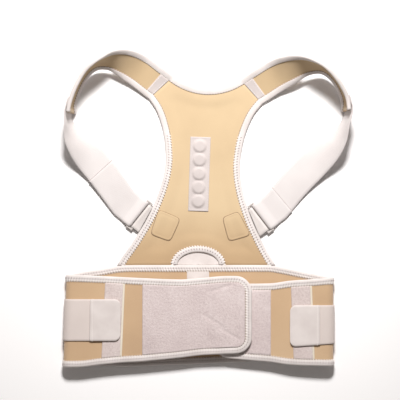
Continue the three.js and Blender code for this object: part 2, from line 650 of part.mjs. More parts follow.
const TABLES = {
  right: [RIGHT_TOP, RIGHT_BOTTOM],
  left: [LEFT_TOP, LEFT_BOTTOM],
  back: [BACK_TOP, BACK_BOTTOM],
};
function limits({ x, name, drop = 0 }) {
  const share = x / BELT_HALF;
  const of = (k) => {
    if (name !== "fold") return curve(TABLES[name][k], share);
    const front = curve(TABLES[share > 0 ? "right" : "left"][k], share);
    return (front + curve(TABLES.back[k], share)) / 2;
  };
  return [of(0) + BIND_OUT + drop, of(1) - BIND_OUT - drop];
}
const beltPoint = (s, down) => {
  const skew = s.x < 0 ? (SIDE_SKEW * (-s.x / BELT_HALF) ** 3 * down) / 150 : 0;
  return V(BELT_X + s.x + skew, BELT_TOP - down, s.z);
};
const beltGrid = path.map((s) => {
  const [top, bottom] = limits(s);
  return [0, 1 / 3, 2 / 3, 1].map((t) => beltPoint(s, lerp(top, bottom, t)));
});
// Outward normals in the plane across the belt
const beltNormals = path.map((s, i) => {
  const a = path[Math.max(0, i - 1)];
  const b = path[Math.min(path.length - 1, i + 1)];
  return V(-(b.z - a.z), 0, b.x - a.x).normalize();
});
const OUTER = beltNormals[path.findIndex((s) => s.name === "back") + 5].z < 0 ? 1 : -1;
beltNormals.forEach((n) => n.multiplyScalar(OUTER));
add("belt", sheet(beltGrid, NEOPRENE, 0, beltGrid.map((row, i) => row.map(() => beltNormals[i]))), beige);

// Away from the flap ends the binding stands straight up and down from the belt's rows.
const edge = (i, j) => {
  const straight = path[i].drop === undefined && (j === 0 || j === 3);
  const inner = beltGrid[i][j === 0 ? 1 : 2];
  const out = straight ? beltGrid[i][j].clone().sub(inner).normalize() : undefined;
  return { e: beltGrid[i][j], n: beltNormals[i], out };
};
const around = [];
for (let i = 0; i < path.length; i += 1) around.push(edge(i, 0));
for (let j = 1; j < 3; j += 1) around.push(edge(path.length - 1, j));
for (let i = path.length - 1; i >= 0; i -= 1) around.push(edge(i, 3));
for (let j = 2; j > 0; j -= 1) around.push(edge(0, j));
add("belt_binding", binding(around, -OUTER, true), whiteTape);

// How far the rounded inner border of the binding cuts into a panel near the left flap's end
const INNER_R = FLAP_TIP_R - BIND_IN - 0.7;
const inCorner = (x) => {
  const d = Math.max(0, x - (LEFT_END - FLAP_TIP_R));
  return INNER_R - Math.sqrt(Math.max(0, INNER_R ** 2 - d ** 2));
};

// Sheets that lie on a face of the belt between two places of one layer
function onBelt(name, from, to, { above = 0.3, thick = PATCH, inner = false, y = null, skew = 0 }) {
  const first = path.findIndex((s) => s.name === name);
  const ascending = path[first + 7].x > path[first + 6].x;
  const samples = path.map((s, i) => ({ s, n: beltNormals[i] })).filter(({ s }) => s.name === name);
  if (!ascending) samples.reverse();
  const at = (x) => {
    let k = 0;
    while (k < samples.length - 2 && x > samples[k + 1].s.x) k += 1;
    const a = samples[k];
    const b = samples[k + 1];
    const t = (x - a.s.x) / (b.s.x - a.s.x);
    return { s: { x, z: lerp(a.s.z, b.s.z, t), name }, n: a.n.clone().lerp(b.n, t).normalize() };
  };
  const xs = [from, ...samples.map(({ s }) => s.x).filter((x) => x > from + 1 && x < to - 1), to];
  const rows = xs.map(at);
  const grid = xs.map((x) =>
    [0, 0.5, 1].map((t) => {
      const { s } = at(x + skew * t);
      const [top, bottom] = limits(s);
      const cut = name === "left" ? inCorner(s.x) : 0;
      const [lo, hi] = y || [top + BIND_IN + 0.4 + cut, bottom - BIND_IN - 0.4 - cut];
      return beltPoint(s, lerp(lo, hi, t));
    }),
  );
  const lift = (NEOPRENE / 2 + above + thick / 2) * (inner ? -1 : 1);
  return sheet(grid, thick, lift, grid.map((row, i) => row.map(() => rows[i].n)));
}
const PANEL_END = LEFT_END - BIND_IN - 1.5;
const along = ([from, to], end = null) => [from * BELT_HALF, end === null ? to * BELT_HALF : end];
add("loop_panel_left_flap", onBelt("left", ...along(TRIM.leftPanel, PANEL_END), {}), loopPile);
add("loop_strip_left", onBelt("left", ...along(TRIM.leftStrip), { skew: -STRIP_SKEW }), loopPile);
add("loop_panel_right_flap", onBelt("right", ...along(TRIM.rightPanel), {}), loopPile);
add("loop_strip_right", onBelt("right", ...along(TRIM.rightStrip), { skew: STRIP_SKEW }), loopPile);
add("flap_hook", onBelt("left", ...along(TRIM.hook, PANEL_END), { inner: true }), loopPile);

// Side elastics run from the outside of the back round the folds to the tabs on the front.
function sideElastic(side) {
  const sign = side === "left" ? -1 : 1;
  const y = [TAB_DROP[side], TAB_DROP[side] + TAB_TALL];
  const thick = TAB_WALL;
  const lift = NEOPRENE / 2 + GAP + thick / 2;
  const end = (side === "left" ? TRIM.leftTab[0] : TRIM.rightTab[1]) * BELT_HALF + sign * GAP;
  const mine = path
    .map((s, i) => ({ s, n: beltNormals[i] }))
    .filter(({ s }) => s.x * sign > BACK_REACH * BELT_HALF && (s.name === "fold" || s.name === "back" || s.name === side));
  if (side === "right") mine.reverse();
  const frontRows = mine.filter(({ s }) => s.name !== side || s.x * sign > Math.abs(end) + 1);
  const frontZ = side === "left" ? leftZ(end) : rightZ(end);
  frontRows.push({ s: { x: end, z: frontZ, name: side }, n: up });
  const grid = frontRows.map(({ s }) => [0, 0.5, 1].map((t) => beltPoint(s, lerp(y[0], y[1], t))));
  return sheet(grid, thick, lift, grid.map((row, i) => row.map(() => frontRows[i].n)));
}
add("side_elastic_left", sideElastic("left"), whiteElastic);
add("side_elastic_right", sideElastic("right"), whiteElastic);
for (const [side, places] of [["left", TRIM.leftTab], ["right", TRIM.rightTab]]) {
  const y = [TAB_DROP[side], TAB_DROP[side] + TAB_TALL];
  const above = PATCH + 3 * GAP;
  add(`hook_tab_${side}`, onBelt(side, ...along(places), { above, thick: TAB_WALL, y }), whiteTape);
}

// Blank label under the upper edge of the back
const label = new THREE.BoxGeometry(33, 13, 0.8);
add("label", label, whiteTape).position.set(-7.2, BELT_TOP - BIND_IN - BIND_OUT - 0.6 - 6.5, BELT_BACK_Z + NEOPRENE / 2 + GAP + 0.5);

export default root;
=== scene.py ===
# %% [markdown]
# # A posture corrector of neoprene and elastic, lying flat
# The object is a soft brace: an X-shaped back yoke, two shoulder loops that go over to elastic straps,
# and a waist belt that closes in front with one flap over the other. It lies on its outside, so the inner
# face of the back, with its strip of magnets, looks up at the camera.
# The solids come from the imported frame. Every soft solid is replaced here by a finer piece of cloth.

# %% Load the frame and keep its box
import bpy, math
import numpy as np
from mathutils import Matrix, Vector


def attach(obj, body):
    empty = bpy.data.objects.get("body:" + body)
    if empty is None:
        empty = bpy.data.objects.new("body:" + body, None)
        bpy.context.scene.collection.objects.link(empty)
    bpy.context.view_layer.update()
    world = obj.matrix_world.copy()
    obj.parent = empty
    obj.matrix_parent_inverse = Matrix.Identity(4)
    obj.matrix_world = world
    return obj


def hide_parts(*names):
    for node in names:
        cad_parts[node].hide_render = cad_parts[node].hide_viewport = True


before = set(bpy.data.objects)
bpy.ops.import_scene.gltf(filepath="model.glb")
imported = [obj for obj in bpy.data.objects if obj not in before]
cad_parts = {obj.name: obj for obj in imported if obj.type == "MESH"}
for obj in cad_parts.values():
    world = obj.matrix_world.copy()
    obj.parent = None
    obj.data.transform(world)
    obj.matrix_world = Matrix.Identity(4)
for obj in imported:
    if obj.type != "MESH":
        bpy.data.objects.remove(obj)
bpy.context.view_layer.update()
MM = 0.001
print("solids in the frame:", len(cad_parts))

# %% [markdown]
# ## Camera and light
# The photograph looks straight down from far above, so the camera is high and its lens is long.
# One soft light stands far off above the top of the picture: it throws the shadows of the shoulder loops down
# into the arm openings. It shines in a cone, so the table stays white under the brace. A weak warm world light
# fills the shadows.

# %% Camera above the middle of the brace
CAMERA_HEIGHT = 5.0
FIELD = 0.600  # width of floor that the picture shows, in metres
PICTURE_MIDDLE = (-0.00426, -0.05685)  # metres, in the frame of the part
SENSOR = 36
cam_data = bpy.data.cameras.new("camera")
cam_data.sensor_width = SENSOR
cam_data.lens = SENSOR * CAMERA_HEIGHT / FIELD
cam_data.clip_end = 10 * CAMERA_HEIGHT
camera = bpy.data.objects.new("camera", cam_data)
camera.location = (*PICTURE_MIDDLE, CAMERA_HEIGHT)
bpy.context.scene.collection.objects.link(camera)
bpy.context.scene.camera = camera
bpy.context.scene.view_settings.view_transform = "Standard"
print("camera height", CAMERA_HEIGHT, "m, lens", round(cam_data.lens), "mm")

# %% Key light and world
# where it aims, how far away it is and how steep; its size, cone, power and colour
KEY_AIM, KEY_AWAY, KEY_RISE = Vector((0.0, 0.14, 0.0)), 2.6, math.radians(54)
KEY_SIZE, KEY_CONE, KEY_WATTS, KEY_COLOUR = (0.55, 0.45), math.radians(50), 9.2, (1.0, 0.988, 0.98)
KEY_ASIDE = 0.06
FILL_COLOUR, FILL_STRENGTH = (1.0, 0.93, 0.88, 1), 0.18

key = bpy.data.lights.new("key_top", "AREA")
key.shape, key.energy, key.color, key.spread = "RECTANGLE", KEY_WATTS, KEY_COLOUR, KEY_CONE
key.size, key.size_y = KEY_SIZE
lamp = bpy.data.objects.new("key_top", key)
lamp.location = (KEY_ASIDE, KEY_AIM.y + KEY_AWAY * math.cos(KEY_RISE), KEY_AWAY * math.sin(KEY_RISE))
lamp.rotation_euler = (KEY_AIM - lamp.location).to_track_quat("-Z", "Y").to_euler()
bpy.context.scene.collection.objects.link(lamp)
world = bpy.data.worlds.new("studio")
world.use_nodes = True
background = world.node_tree.nodes["Background"].inputs
background["Color"].default_value, background["Strength"].default_value = FILL_COLOUR, FILL_STRENGTH
bpy.context.scene.world = world
print("lights: key and world")

# %% [markdown]
# ## Sizes
# The same named sizes and short tables as in the solids, in millimetres. Repeating them here keeps every
# piece of cloth in the space that its solid holds.

# %% Named sizes and tables
GAP, NEOPRENE, ELASTIC, PATCH = 0.3, 3.0, 2.0, 1.2
BIND_IN, BIND_OUT, BIND_WALL = 7.5, 1.5, 1.2
LEAN, WAIST_V = math.radians(-2.6), 150.0  # the yoke's own frame: its turn, and the height that it turns about
STRAP_W, ELASTIC_W = 47.0, 45.0
RING_BAR, RING_Z = 1.6, 4.2
FOLDBACK = {"left": 84.0, "right": 36.0}
BELT_HALF, BELT_X, BELT_TOP = 198.0, -4.3, -154.4
BACK_Z, FOLD_R = 3.8, 9.0
FLAP_TIP_R, LEFT_END, RIGHT_END, SIDE_SKEW = 22.0, 76.0, 21.0, -5.0
FOOT_Y = BELT_TOP + 0.3
ARCH_X, ARCH_HALF, ARCH_TALL = -7.0, 32.5, 20.5
# yoke: (height, half width) in its own frame, seam ends, and (half width, height) of the neck
YOKE_HALF = [(-9.5, 119.5), (3, 112.5), (15, 104.5), (33, 93.5), (63, 77.5), (93, 65.5), (120, 57.8),
             (145.5, 54.4), (168, 55.6), (190, 59.2), (213, 66.4), (228, 73.6), (241.8, 83.9)]
SEAM_ARM, SEAM_NECK = (83.9, 241.8), (50.7, 275.0)
NECK = [(0, 259), (12, 260), (24, 262.6), (37, 267.4), (50.7, 275)]
# straps and their tails: (half width, height, turn in degrees, low edge's height over the table)
STRAP = {
    "left": [(67.3, 258.4, 0, 1.5), (84, 270.2, 8, 2.5), (101.9, 282.5, 12, 5), (120.5, 291.2, 27, 8),
             (137.5, 294.2, 48, 11), (152.8, 291.6, 68, 12), (167, 285.4, 79, 12), (179.2, 273.8, 82, 10),
             (190, 254.1, 83, 7), (197.1, 232.3, 82, 4), (200.1, 214.6, 80, 2)],
    "right": [(67.3, 258.4, 0, 1.5), (84, 270.2, 8, 2.5), (102.3, 282.9, 12, 6), (120.7, 292.4, 27, 11),
              (139.2, 298.5, 47, 14), (156.4, 299.2, 66, 15), (172.8, 295.4, 79, 14), (187.1, 284.8, 84, 12),
              (198.4, 270.4, 84, 8), (206.4, 254.4, 82, 4), (210.3, 236.3, 80, 2)],
}
TAIL = {
    "left": [(202.4, 198, 75, 1), (195.4, 180.9, 52, 0.4), (182.6, 163.8, 29, 0.2), (167.3, 146, 12, 0.1),
             (147.2, 123.9, 4, 0.1)],
    "right": [(209, 214.8, 74, 1), (199.4, 194.1, 52, 0.4), (185.2, 175.3, 29, 0.2), (165.5, 153.5, 12, 0.1),
              (140, 125, 4, 0.1)],
}
# rings: where the elastic folds, and the bar's direction in degrees
RING = {"left": (91.3, 66.4, 126), "right": (90.6, 70.2, 130)}
# belt: (share of the half width, drop of the edge below the top), then heights of its two front layers
BACK_TOP = [(-1, 15), (-0.87, 9), (-0.735, 5), (-0.62, 1), (-0.53, 0), (0, 0), (0.515, 0), (0.59, 2),
            (0.758, 8.6), (0.87, 13), (1, 18)]
BACK_BOTTOM = [(-1, 152.5), (-0.76, 151), (-0.57, 152.5), (-0.38, 151), (0, 148), (0.34, 145), (0.42, 143.5),
               (0.61, 147.5), (0.83, 150.5), (1, 150.8)]
LEFT_TOP = [(-1, 14), (-0.76, 15.8), (-0.45, 18.8), (-0.15, 21), (0, 19), (0.19, 15.9), (0.39, 16.5)]
LEFT_BOTTOM = [(-1, 152.5), (-0.87, 152), (-0.76, 149), (-0.6, 145.8), (-0.45, 144), (-0.15, 138.3),
               (0, 134.6), (0.15, 132.9), (0.39, 131)]
RIGHT_TOP = [(0.1, 27), (0.53, 27), (0.68, 23), (0.83, 21), (1, 18)]
RIGHT_BOTTOM = [(0.1, 137), (0.38, 142.5), (0.53, 144.8), (0.68, 149), (1, 150.8)]
LEFT_Z = [(-0.95, 21.8), (-0.7, 21.5), (-0.3, 20.6), (0, 20.9), (0.15, 21.8), (0.4, 22.2)]
RIGHT_Z = [(0.1, 15), (0.3, 15.1), (0.42, 15.6), (0.6, 17.6), (0.8, 20.6), (0.95, 21.8)]
# trimmings on the belt: (start, end) as shares of the half width
TRIM = {"left_panel": (-0.432, 0.34), "left_strip": (-0.712, -0.58), "left_tab": (-0.821, -0.598),
        "right_panel": (0.242, 0.534), "right_strip": (0.689, 0.83), "right_tab": (0.682, 0.903)}
TAB_DROP, TAB_TALL, TAB_WALL, BACK_REACH = {"left": 51.0, "right": 60.0}, 61.5, 1.6, 0.68
print("belt", 2 * BELT_HALF, "mm wide")

# %% Curves, leaning and smooth paths
def curve(table, x):
    """Smooth value from rows of (place, value)."""
    last = len(table) - 1
    i = 0
    while i < last - 1 and x > table[i + 1][0]:
        i += 1

    def slope(k):
        a, b = table[max(0, k - 1)], table[min(last, k + 1)]
        return (b[1] - a[1]) / (b[0] - a[0])

    (x0, y0), (x1, y1) = table[i], table[i + 1]
    w = x1 - x0
    s = min(1.0, max(0.0, (x - x0) / w))
    return ((2 * s**3 - 3 * s**2 + 1) * y0 + (s**3 - 2 * s**2 + s) * w * slope(i)
            + (3 * s**2 - 2 * s**3) * y1 + (s**3 - s**2) * w * slope(i + 1))

def leaned(u, v, z=0.0):
    """From the yoke's own frame to the part's."""
    w = v - WAIST_V
    return np.array([u * math.cos(LEAN) - w * math.sin(LEAN), u * math.sin(LEAN) + w * math.cos(LEAN), z])

def unit(v):
    return v / max(1e-12, float(np.linalg.norm(v)))

def unit_rows(v):
    """Every vector of an array brought to length one."""
    return v / np.maximum(1e-12, np.linalg.norm(v, axis=-1, keepdims=True))

def run(line):
    """Length from the start of a line of points to each of them."""
    return np.concatenate([[0], np.cumsum(np.linalg.norm(np.diff(line, axis=0), axis=1))])

def smoothstep(x, a, b):
    t = min(1.0, max(0.0, (x - a) / (b - a)))
    return t * t * (3 - 2 * t)

def sign_of(side):
    return -1 if side == "left" else 1

up = np.array([0.0, 0.0, 1.0])

def smooth_rows(rows, count):
    """Smooth path through rows of numbers, at even steps of their number."""
    rows = np.array(rows, float)
    n = len(rows)
    ext = np.vstack([2 * rows[0] - rows[1], rows, 2 * rows[-1] - rows[-2]])
    out = []
    for t in np.linspace(0, n - 1, count):
        k = min(n - 2, int(t))
        f = t - k
        a, b, c, d = ext[k], ext[k + 1], ext[k + 2], ext[k + 3]
        out.append(0.5 * (2 * b + (c - a) * f + (2 * a - 5 * b + 4 * c - d) * f**2
                          + (3 * b - a - 3 * c + d) * f**3))
    return np.array(out)
print("half width at the waist", curve(YOKE_HALF, WAIST_V))

# %% [markdown]
# ## Making cloth from a grid
# A piece of cloth is a grid of points with a normal at each. Its two faces lie half a thickness off the grid,
# and a rounded rim joins them. Every grid keeps its lengths as a UV map in metres, so a weave drawn in UV
# follows the cloth round bends.

# %% Sheet of cloth
def add_object(name, mesh):
    obj = bpy.data.objects.new(name, mesh)
    bpy.context.scene.collection.objects.link(obj)
    return obj

def new_object(name, points, faces, uvs):
    """Smooth object of points and faces turned outwards, with its UV map in metres."""
    p = np.array(points)
    volume = sum(float(np.dot(p[f[0]], np.cross(p[f[k]], p[f[k + 1]])))
                 for f in faces for k in range(1, len(f) - 1))
    if volume <= 0:
        faces = [tuple(reversed(f)) for f in faces]
    mesh = bpy.data.meshes.new(name)
    mesh.from_pydata([tuple(np.asarray(q) * MM) for q in points], [], faces)
    corner_uvs = np.array([uvs[i] for f in faces for i in f], float).ravel() * MM
    mesh.uv_layers.new(name="cloth").data.foreach_set("uv", corner_uvs)
    mesh.polygons.foreach_set("use_smooth", [True] * len(mesh.polygons))
    mesh.validate()
    return add_object(name, mesh)

def grid_normals(grid):
    return unit_rows(np.cross(np.gradient(grid, axis=0), np.gradient(grid, axis=1)))

def grid_uv(grid):
    """Lengths along and across a grid, in millimetres."""
    rows, cols = grid.shape[:2]
    along, over = run(grid[:, cols // 2]), run(grid[rows // 2])
    return np.array([[(along[i], over[j]) for j in range(cols)] for i in range(rows)])

def cloth(name, grid, thickness, offset=0.0, normals=None, rim=0.35):
    """Closed sheet about a grid. rim is how far its rounded edge stands out, as a share of the thickness."""
    grid = np.asarray(grid, float)
    n = grid_normals(grid) if normals is None else np.asarray(normals, float)
    rows, cols = grid.shape[:2]
    uv = grid_uv(grid)
    points, uvs = [], []
    for side in (0.5, -0.5):
        points += list((grid + n * (offset + side * thickness)).reshape(-1, 3))
        uvs += list(uv.reshape(-1, 2))
    at = lambda s, i, j: s * rows * cols + i * cols + j
    faces = []
    for i in range(rows - 1):
        for j in range(cols - 1):
            faces.append((at(0, i, j), at(0, i + 1, j), at(0, i + 1, j + 1), at(0, i, j + 1)))
            faces.append((at(1, i, j), at(1, i, j + 1), at(1, i + 1, j + 1), at(1, i + 1, j)))
    ring = ([(0, j) for j in range(cols)] + [(i, cols - 1) for i in range(1, rows)]
            + [(rows - 1, j) for j in range(cols - 2, -1, -1)] + [(i, 0) for i in range(rows - 2, 0, -1)])
    base = len(points)
    for i, j in ring:
        ii = i + (1 if i == 0 else -1 if i == rows - 1 else 0)
        jj = j + (1 if j == 0 else -1 if j == cols - 1 else 0)
        away = unit(grid[i, j] - grid[ii, jj])
        points.append(grid[i, j] + n[i, j] * offset + away * rim * thickness)
        uvs.append(uv[i, j])
    for k, (i, j) in enumerate(ring):
        m, q = ring[(k + 1) % len(ring)]
        a, b = base + k, base + (k + 1) % len(ring)
        faces.append((at(0, i, j), at(0, m, q), b, a))
        faces.append((a, b, at(1, m, q), at(1, i, j)))
    return new_object(name, points, faces, uvs)

def sweep(name, samples, profile, loop=False):
    """Profile of (out, up) points swept along samples of (edge point, out, normal)."""
    size, count = len(profile), len(samples)
    points, uvs = [], []
    length, around = run(np.array([e for e, _, _ in samples])), run(np.array(profile))
    for i, (e, out, n) in enumerate(samples):
        for k, (a, b) in enumerate(profile):
            points.append(e + out * a + n * b)
            uvs.append((length[i], around[k]))
    faces = []
    for i in range(count if loop else count - 1):
        for k in range(size):
            m = (k + 1) % size
            j = (i + 1) % count
            faces.append((i * size + k, i * size + m, j * size + m, j * size + k))
    if not loop:
        faces.append(tuple(reversed(range(size))))
        faces.append(tuple(range((count - 1) * size, count * size)))
    return new_object(name, points, faces, uvs)
print("cloth helpers ready")

# %% [markdown]
# ## Cloth finishes
# Each finish is a small tree of nodes: a base colour that drifts a little over the piece, a fine weave
# or pile as bump, and a soft sheen. What is the same all over, as the sheen is, sits on the shader's own sockets.
# Weaves read the piece's own UV map, which is in metres, so their scale is that of real thread.

# %% Helpers for building a finish
def srgb(r, g, b):
    f = lambda c: c / 12.92 if c <= 0.04045 else ((c + 0.055) / 1.055) ** 2.4
    return (f(r / 255), f(g / 255), f(b / 255), 1.0)

def add_node(tree, kind, inputs, **settings):
    """Add a node. Each input takes a plain value, a socket, or a node, which stands for its first output."""
    n = tree.nodes.new(kind)
    for key, value in settings.items():
        setattr(n, key, value)
    for key, value in inputs.items():
        value = value.outputs[0] if isinstance(value, bpy.types.Node) else value
        if isinstance(value, bpy.types.NodeSocket):
            tree.links.new(value, n.inputs[key])
        else:
            n.inputs[key].default_value = value
    return n

class Finish:
    """A material and its node tree, with one short method for each kind of node in use."""
    def __init__(self, name, roughness, sheen=0.0, metallic=0.0):
        self.mat = bpy.data.materials.new(name)
        self.mat.use_nodes = True
        self.tree = self.mat.node_tree
        self.shader = self.tree.nodes["Principled BSDF"]
        for socket, value in (("Roughness", roughness), ("Metallic", metallic), ("Sheen Weight", sheen),
                              ("Sheen Roughness", 0.5), ("Specular IOR Level", 0.25)):
            self.shader.inputs[socket].default_value = value
        coords = self.node("ShaderNodeTexCoord", {})
        self.obj, self.uv = coords.outputs["Object"], coords.outputs["UV"]

    def node(self, kind, inputs, **settings):
        return add_node(self.tree, kind, inputs, **settings)

    def feed(self, socket, node):
        self.tree.links.new(node.outputs[0] if isinstance(node, bpy.types.Node) else node, self.shader.inputs[socket])

    def noise(self, scale, detail=2.0, rough=0.5):
        return self.node("ShaderNodeTexNoise", {"Vector": self.obj, "Scale": scale, "Detail": detail,
                                                "Roughness": rough})

    def waves(self, scale, direction, distort=0.0):
        return self.node("ShaderNodeTexWave", {"Vector": self.uv, "Scale": scale, "Distortion": distort},
                         wave_type="BANDS", bands_direction=direction).outputs["Fac"]

    def math(self, operation, a, b):
        return self.node("ShaderNodeMath", {0: a, 1: b}, operation=operation)

    def weigh(self, a, share_a, b, share_b):
        return self.math("ADD", self.math("MULTIPLY", a, share_a), self.math("MULTIPLY", b, share_b))

    def ramp(self, fac, *stops):
        """Colours at places from 0 to 1."""
        n = self.node("ShaderNodeValToRGB", {"Fac": fac})
        els = n.color_ramp.elements
        els[0].position, els[0].color = stops[0]
        els[1].position, els[1].color = stops[-1]
        for position, colour in stops[1:-1]:
            els.new(position).color = colour
        return n

    def border(self, value, low, high):
        """0 below low and 1 above high, with a soft step between."""
        return self.node("ShaderNodeMapRange", {"Value": value, "From Min": low, "From Max": high},
                         interpolation_type="SMOOTHSTEP")

    def part(self, vector, axis):
        return self.node("ShaderNodeSeparateXYZ", {0: vector}).outputs[axis]

    def mix(self, a, b, fac, blend="MIX"):
        """Colours a and b mixed by fac."""
        return self.node("ShaderNodeMix", {0: fac, 6: a, 7: b}, data_type="RGBA", blend_type=blend).outputs[2]

    def bump(self, height, distance, strength):
        self.feed("Normal", self.node("ShaderNodeBump", {"Height": height, "Distance": distance,
                                                         "Strength": strength}))

    def done(self, fac, low, high):
        """Let the roughness drift from low to high, and hand over the material."""
        self.feed("Roughness", self.node("ShaderNodeMapRange", {"Value": fac, "To Min": low, "To Max": high}))
        return self.mat

def knit(name, dark, mid, light, low=None):
    """Neoprene faced with a fine knit: rows of tiny loops, soft blotches and a matte face.
    low darkens and warms it towards that height in the picture, in metres: painted shade for the light that fades
    towards the yoke's foot."""
    f = Finish(name, 0.88, 0.25)
    blotch = f.noise(9.0, 3.0)
    colour = f.ramp(f.weigh(blotch, 0.8, f.noise(900.0), 0.2),
                    (0.30, srgb(*dark)), (0.5, srgb(*mid)), (0.72, srgb(*light)))
    # painted shade: below that height the colour darkens and warms, as the light fades down the picture
    if low is not None:
        painted_shade_fall = f.border(f.part(f.obj, "Y"), low, low + 0.10)
        colour = f.mix(colour, f.ramp(painted_shade_fall, (0.0, (0.80, 0.73, 0.68, 1)), (1.0, (1, 1, 1, 1))), 1.0, "MULTIPLY")
    f.feed("Base Color", colour)
    loops = f.math("MULTIPLY", f.waves(260.0, "X", 1.2), f.waves(200.0, "Y", 1.2))
    f.bump(f.weigh(loops, 1.0, f.noise(2600.0), 0.6), 0.00022, 0.55)
    return f.done(blotch, 0.82, 0.95)

HEM_SPAN = 0.0236  # metres from one inner border of a binding's section round to the other

def tape(name, dark, light, across=420.0, along=520.0, depth=0.00018, groove_shade=None):
    """Woven binding tape: a fine plain weave with a faint sheen. Its last argument is the colour of the painted shade
    in the groove that the stitches press along both inner borders of a binding."""
    f = Finish(name, 0.8, 0.2)
    blotch = f.noise(40.0, 3.0)
    colour = f.ramp(blotch, (0.3, srgb(*dark)), (0.7, srgb(*light)))
    # painted shade: a dark line along both inner borders of the binding, where the stitches press a groove
    if groove_shade is not None:
        off = f.math("ABSOLUTE", f.math("SUBTRACT", f.part(f.uv, "Y"), HEM_SPAN / 2), 0.0)
        groove = f.border(off, HEM_SPAN / 2 - 0.0017, HEM_SPAN / 2 - 0.0009)
        colour = f.mix(colour, srgb(*groove_shade), groove)
    f.feed("Base Color", colour)
    weave = f.math("MULTIPLY", f.waves(along, "X"), f.waves(across, "Y"))
    f.bump(f.weigh(weave, 1.0, f.noise(1500.0), 0.5), depth, 0.6)
    return f.done(blotch, 0.72, 0.88)

def elastic(name, dark, light, ribs=190.0):
    """Ribbed elastic: cords run along it, crossed by fine picks of thread."""
    f = Finish(name, 0.85, 0.2)
    rib = f.waves(ribs, "Y")
    picks = f.waves(420.0, "X", 0.6)
    blotch = f.noise(22.0, 3.0)
    f.feed("Base Color", f.ramp(f.weigh(rib, 0.45, blotch, 0.55), (0.25, srgb(*dark)), (0.65, srgb(*light))))
    f.bump(f.weigh(rib, 1.0, picks, 0.3), 0.0002, 0.6)
    return f.done(blotch, 0.78, 0.92)

def pile(name, dark, mid, light):
    """Brushed loop pile: clumps of tiny curled loops that catch the light unevenly."""
    f = Finish(name, 0.95, 0.45)
    clumps = f.noise(340.0, 5.0, 0.7)
    wide = f.noise(28.0, 3.0)
    f.feed("Base Color", f.ramp(f.weigh(clumps, 0.7, wide, 0.3),
                                (0.36, srgb(*dark)), (0.5, srgb(*mid)), (0.64, srgb(*light))))
    cells = f.node("ShaderNodeTexVoronoi", {"Vector": f.obj, "Scale": 900.0})
    f.bump(f.weigh(clumps, 1.0, cells, 0.7), 0.0007, 0.8)
    return f.done(clumps, 0.88, 1.0)

# the yoke's finish darkens towards its foot: painted shade for the fading light
NEOPRENE_YOKE = knit("neoprene_yoke", (200, 175, 140), (207, 182, 146), (213, 189, 153), low=-0.155)
# the straps' neoprene is the yoke's, made a little darker: painted shade on straps that stand on edge away from the
# light
NEOPRENE_STRAP_SHADED = knit("neoprene_strap_shaded", (195, 169, 133), (202, 176, 139), (208, 183, 146))
# the belt's neoprene is the yoke's, made darker: painted shade for the dimmer light low in the picture
NEOPRENE_BELT_SHADED = knit("neoprene_belt_shaded", (190, 159, 127), (199, 168, 134), (206, 177, 144))
TAPE_WHITE = tape("tape_white", (212, 204, 200), (228, 220, 216))
TAPE_SMOOTH = tape("tape_smooth", (212, 202, 198), (224, 215, 211), 700.0, 700.0, 0.00012)
TAPE_DULL = tape("tape_dull", (198, 188, 185), (208, 198, 195), 700.0, 700.0, 0.00012)
# its dark lines along the inner borders are painted shade
TAPE_BINDING = tape("tape_binding", (214, 206, 202), (228, 220, 217), groove_shade=(150, 124, 102))
# dark marks for the needle holes: painted shade in their dimples
NEEDLE_HOLE_SHADE = tape("needle_hole_shade", (122, 104, 104), (134, 116, 116))
ELASTIC_WHITE = elastic("elastic_white", (204, 196, 194), (224, 218, 216))
ELASTIC_SIDE = elastic("elastic_side", (206, 193, 187), (222, 210, 204), 330.0)
LOOP_PILE = pile("loop_pile", (194, 178, 177), (209, 194, 192), (220, 207, 205))
LOOP_STRIP = pile("loop_strip", (198, 182, 178), (212, 197, 193), (222, 210, 206))
# grey cords over the elastics' folded-back ends: painted shade
ELASTIC_END_SHADE = tape("elastic_end", (172, 163, 160), (188, 178, 175))
# dark cords round the sewn patches: painted shade of the seam's groove
PATCH_GROOVE_SHADE = tape("patch_groove", (138, 112, 88), (150, 122, 96))
THREAD = tape("thread_white", (232, 224, 218), (244, 238, 234), 900.0, 900.0, 0.0001)
SELVEDGE = tape("selvedge_cream", (222, 212, 194), (230, 221, 205))

def plain_finish(name, low, high, roughness, metallic):
    """Smooth hard stuff: faint drift of colour and a very fine grain."""
    f = Finish(name, roughness, 0.0, metallic)
    n = f.noise(60.0, 3.0)
    f.feed("Base Color", f.ramp(n, (0.3, srgb(*low)), (0.7, srgb(*high))))
    f.bump(f.noise(1400.0), 0.00004, 0.4)
    return f.done(n, roughness * 0.85, min(1.0, roughness * 1.15))

RING_PLASTIC = plain_finish("ring_plastic", (186, 179, 175), (202, 195, 191), 0.38, 0.0)
MAGNET_METAL = plain_finish("magnet_metal", (172, 172, 176), (196, 196, 198), 0.32, 1.0)

print("finishes:", len(bpy.data.materials))

# %% [markdown]
# ## Dressing and measuring cloth
# Every piece gets its finish, rides on the one body, and names the solid it stands for, if there is one. Each
# sheet's width, length and flat area are also worked out from its own grid.

# %% Finish a piece, and measure a sheet from its grid
def dress(obj, material, slot, *nodes):
    """Give a piece its finish and tie it to the frame."""
    obj.data.materials.clear()
    obj.data.materials.append(material)
    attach(obj, "root")
    if nodes:
        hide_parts(*nodes)
    return obj

def cloth_area(grid):
    a = np.cross(grid[1:, 1:] - grid[:-1, :-1], grid[:-1, 1:] - grid[1:, :-1])
    return 0.5 * float(np.linalg.norm(a, axis=2).sum())

def declare(grid):
    """The flat size is rounded up to a tenth of a millimetre, so that it always holds the area."""
    area = cloth_area(grid) * MM * MM
    length = float(np.linalg.norm(np.diff(grid, axis=0), axis=2).sum(0).mean()) * MM
    width = float(np.linalg.norm(np.diff(grid, axis=1), axis=2).sum(1).max()) * MM
    width = math.ceil(width * 1e4) / 1e4
    length = math.ceil(max(length, area / width) * 1e4) / 1e4

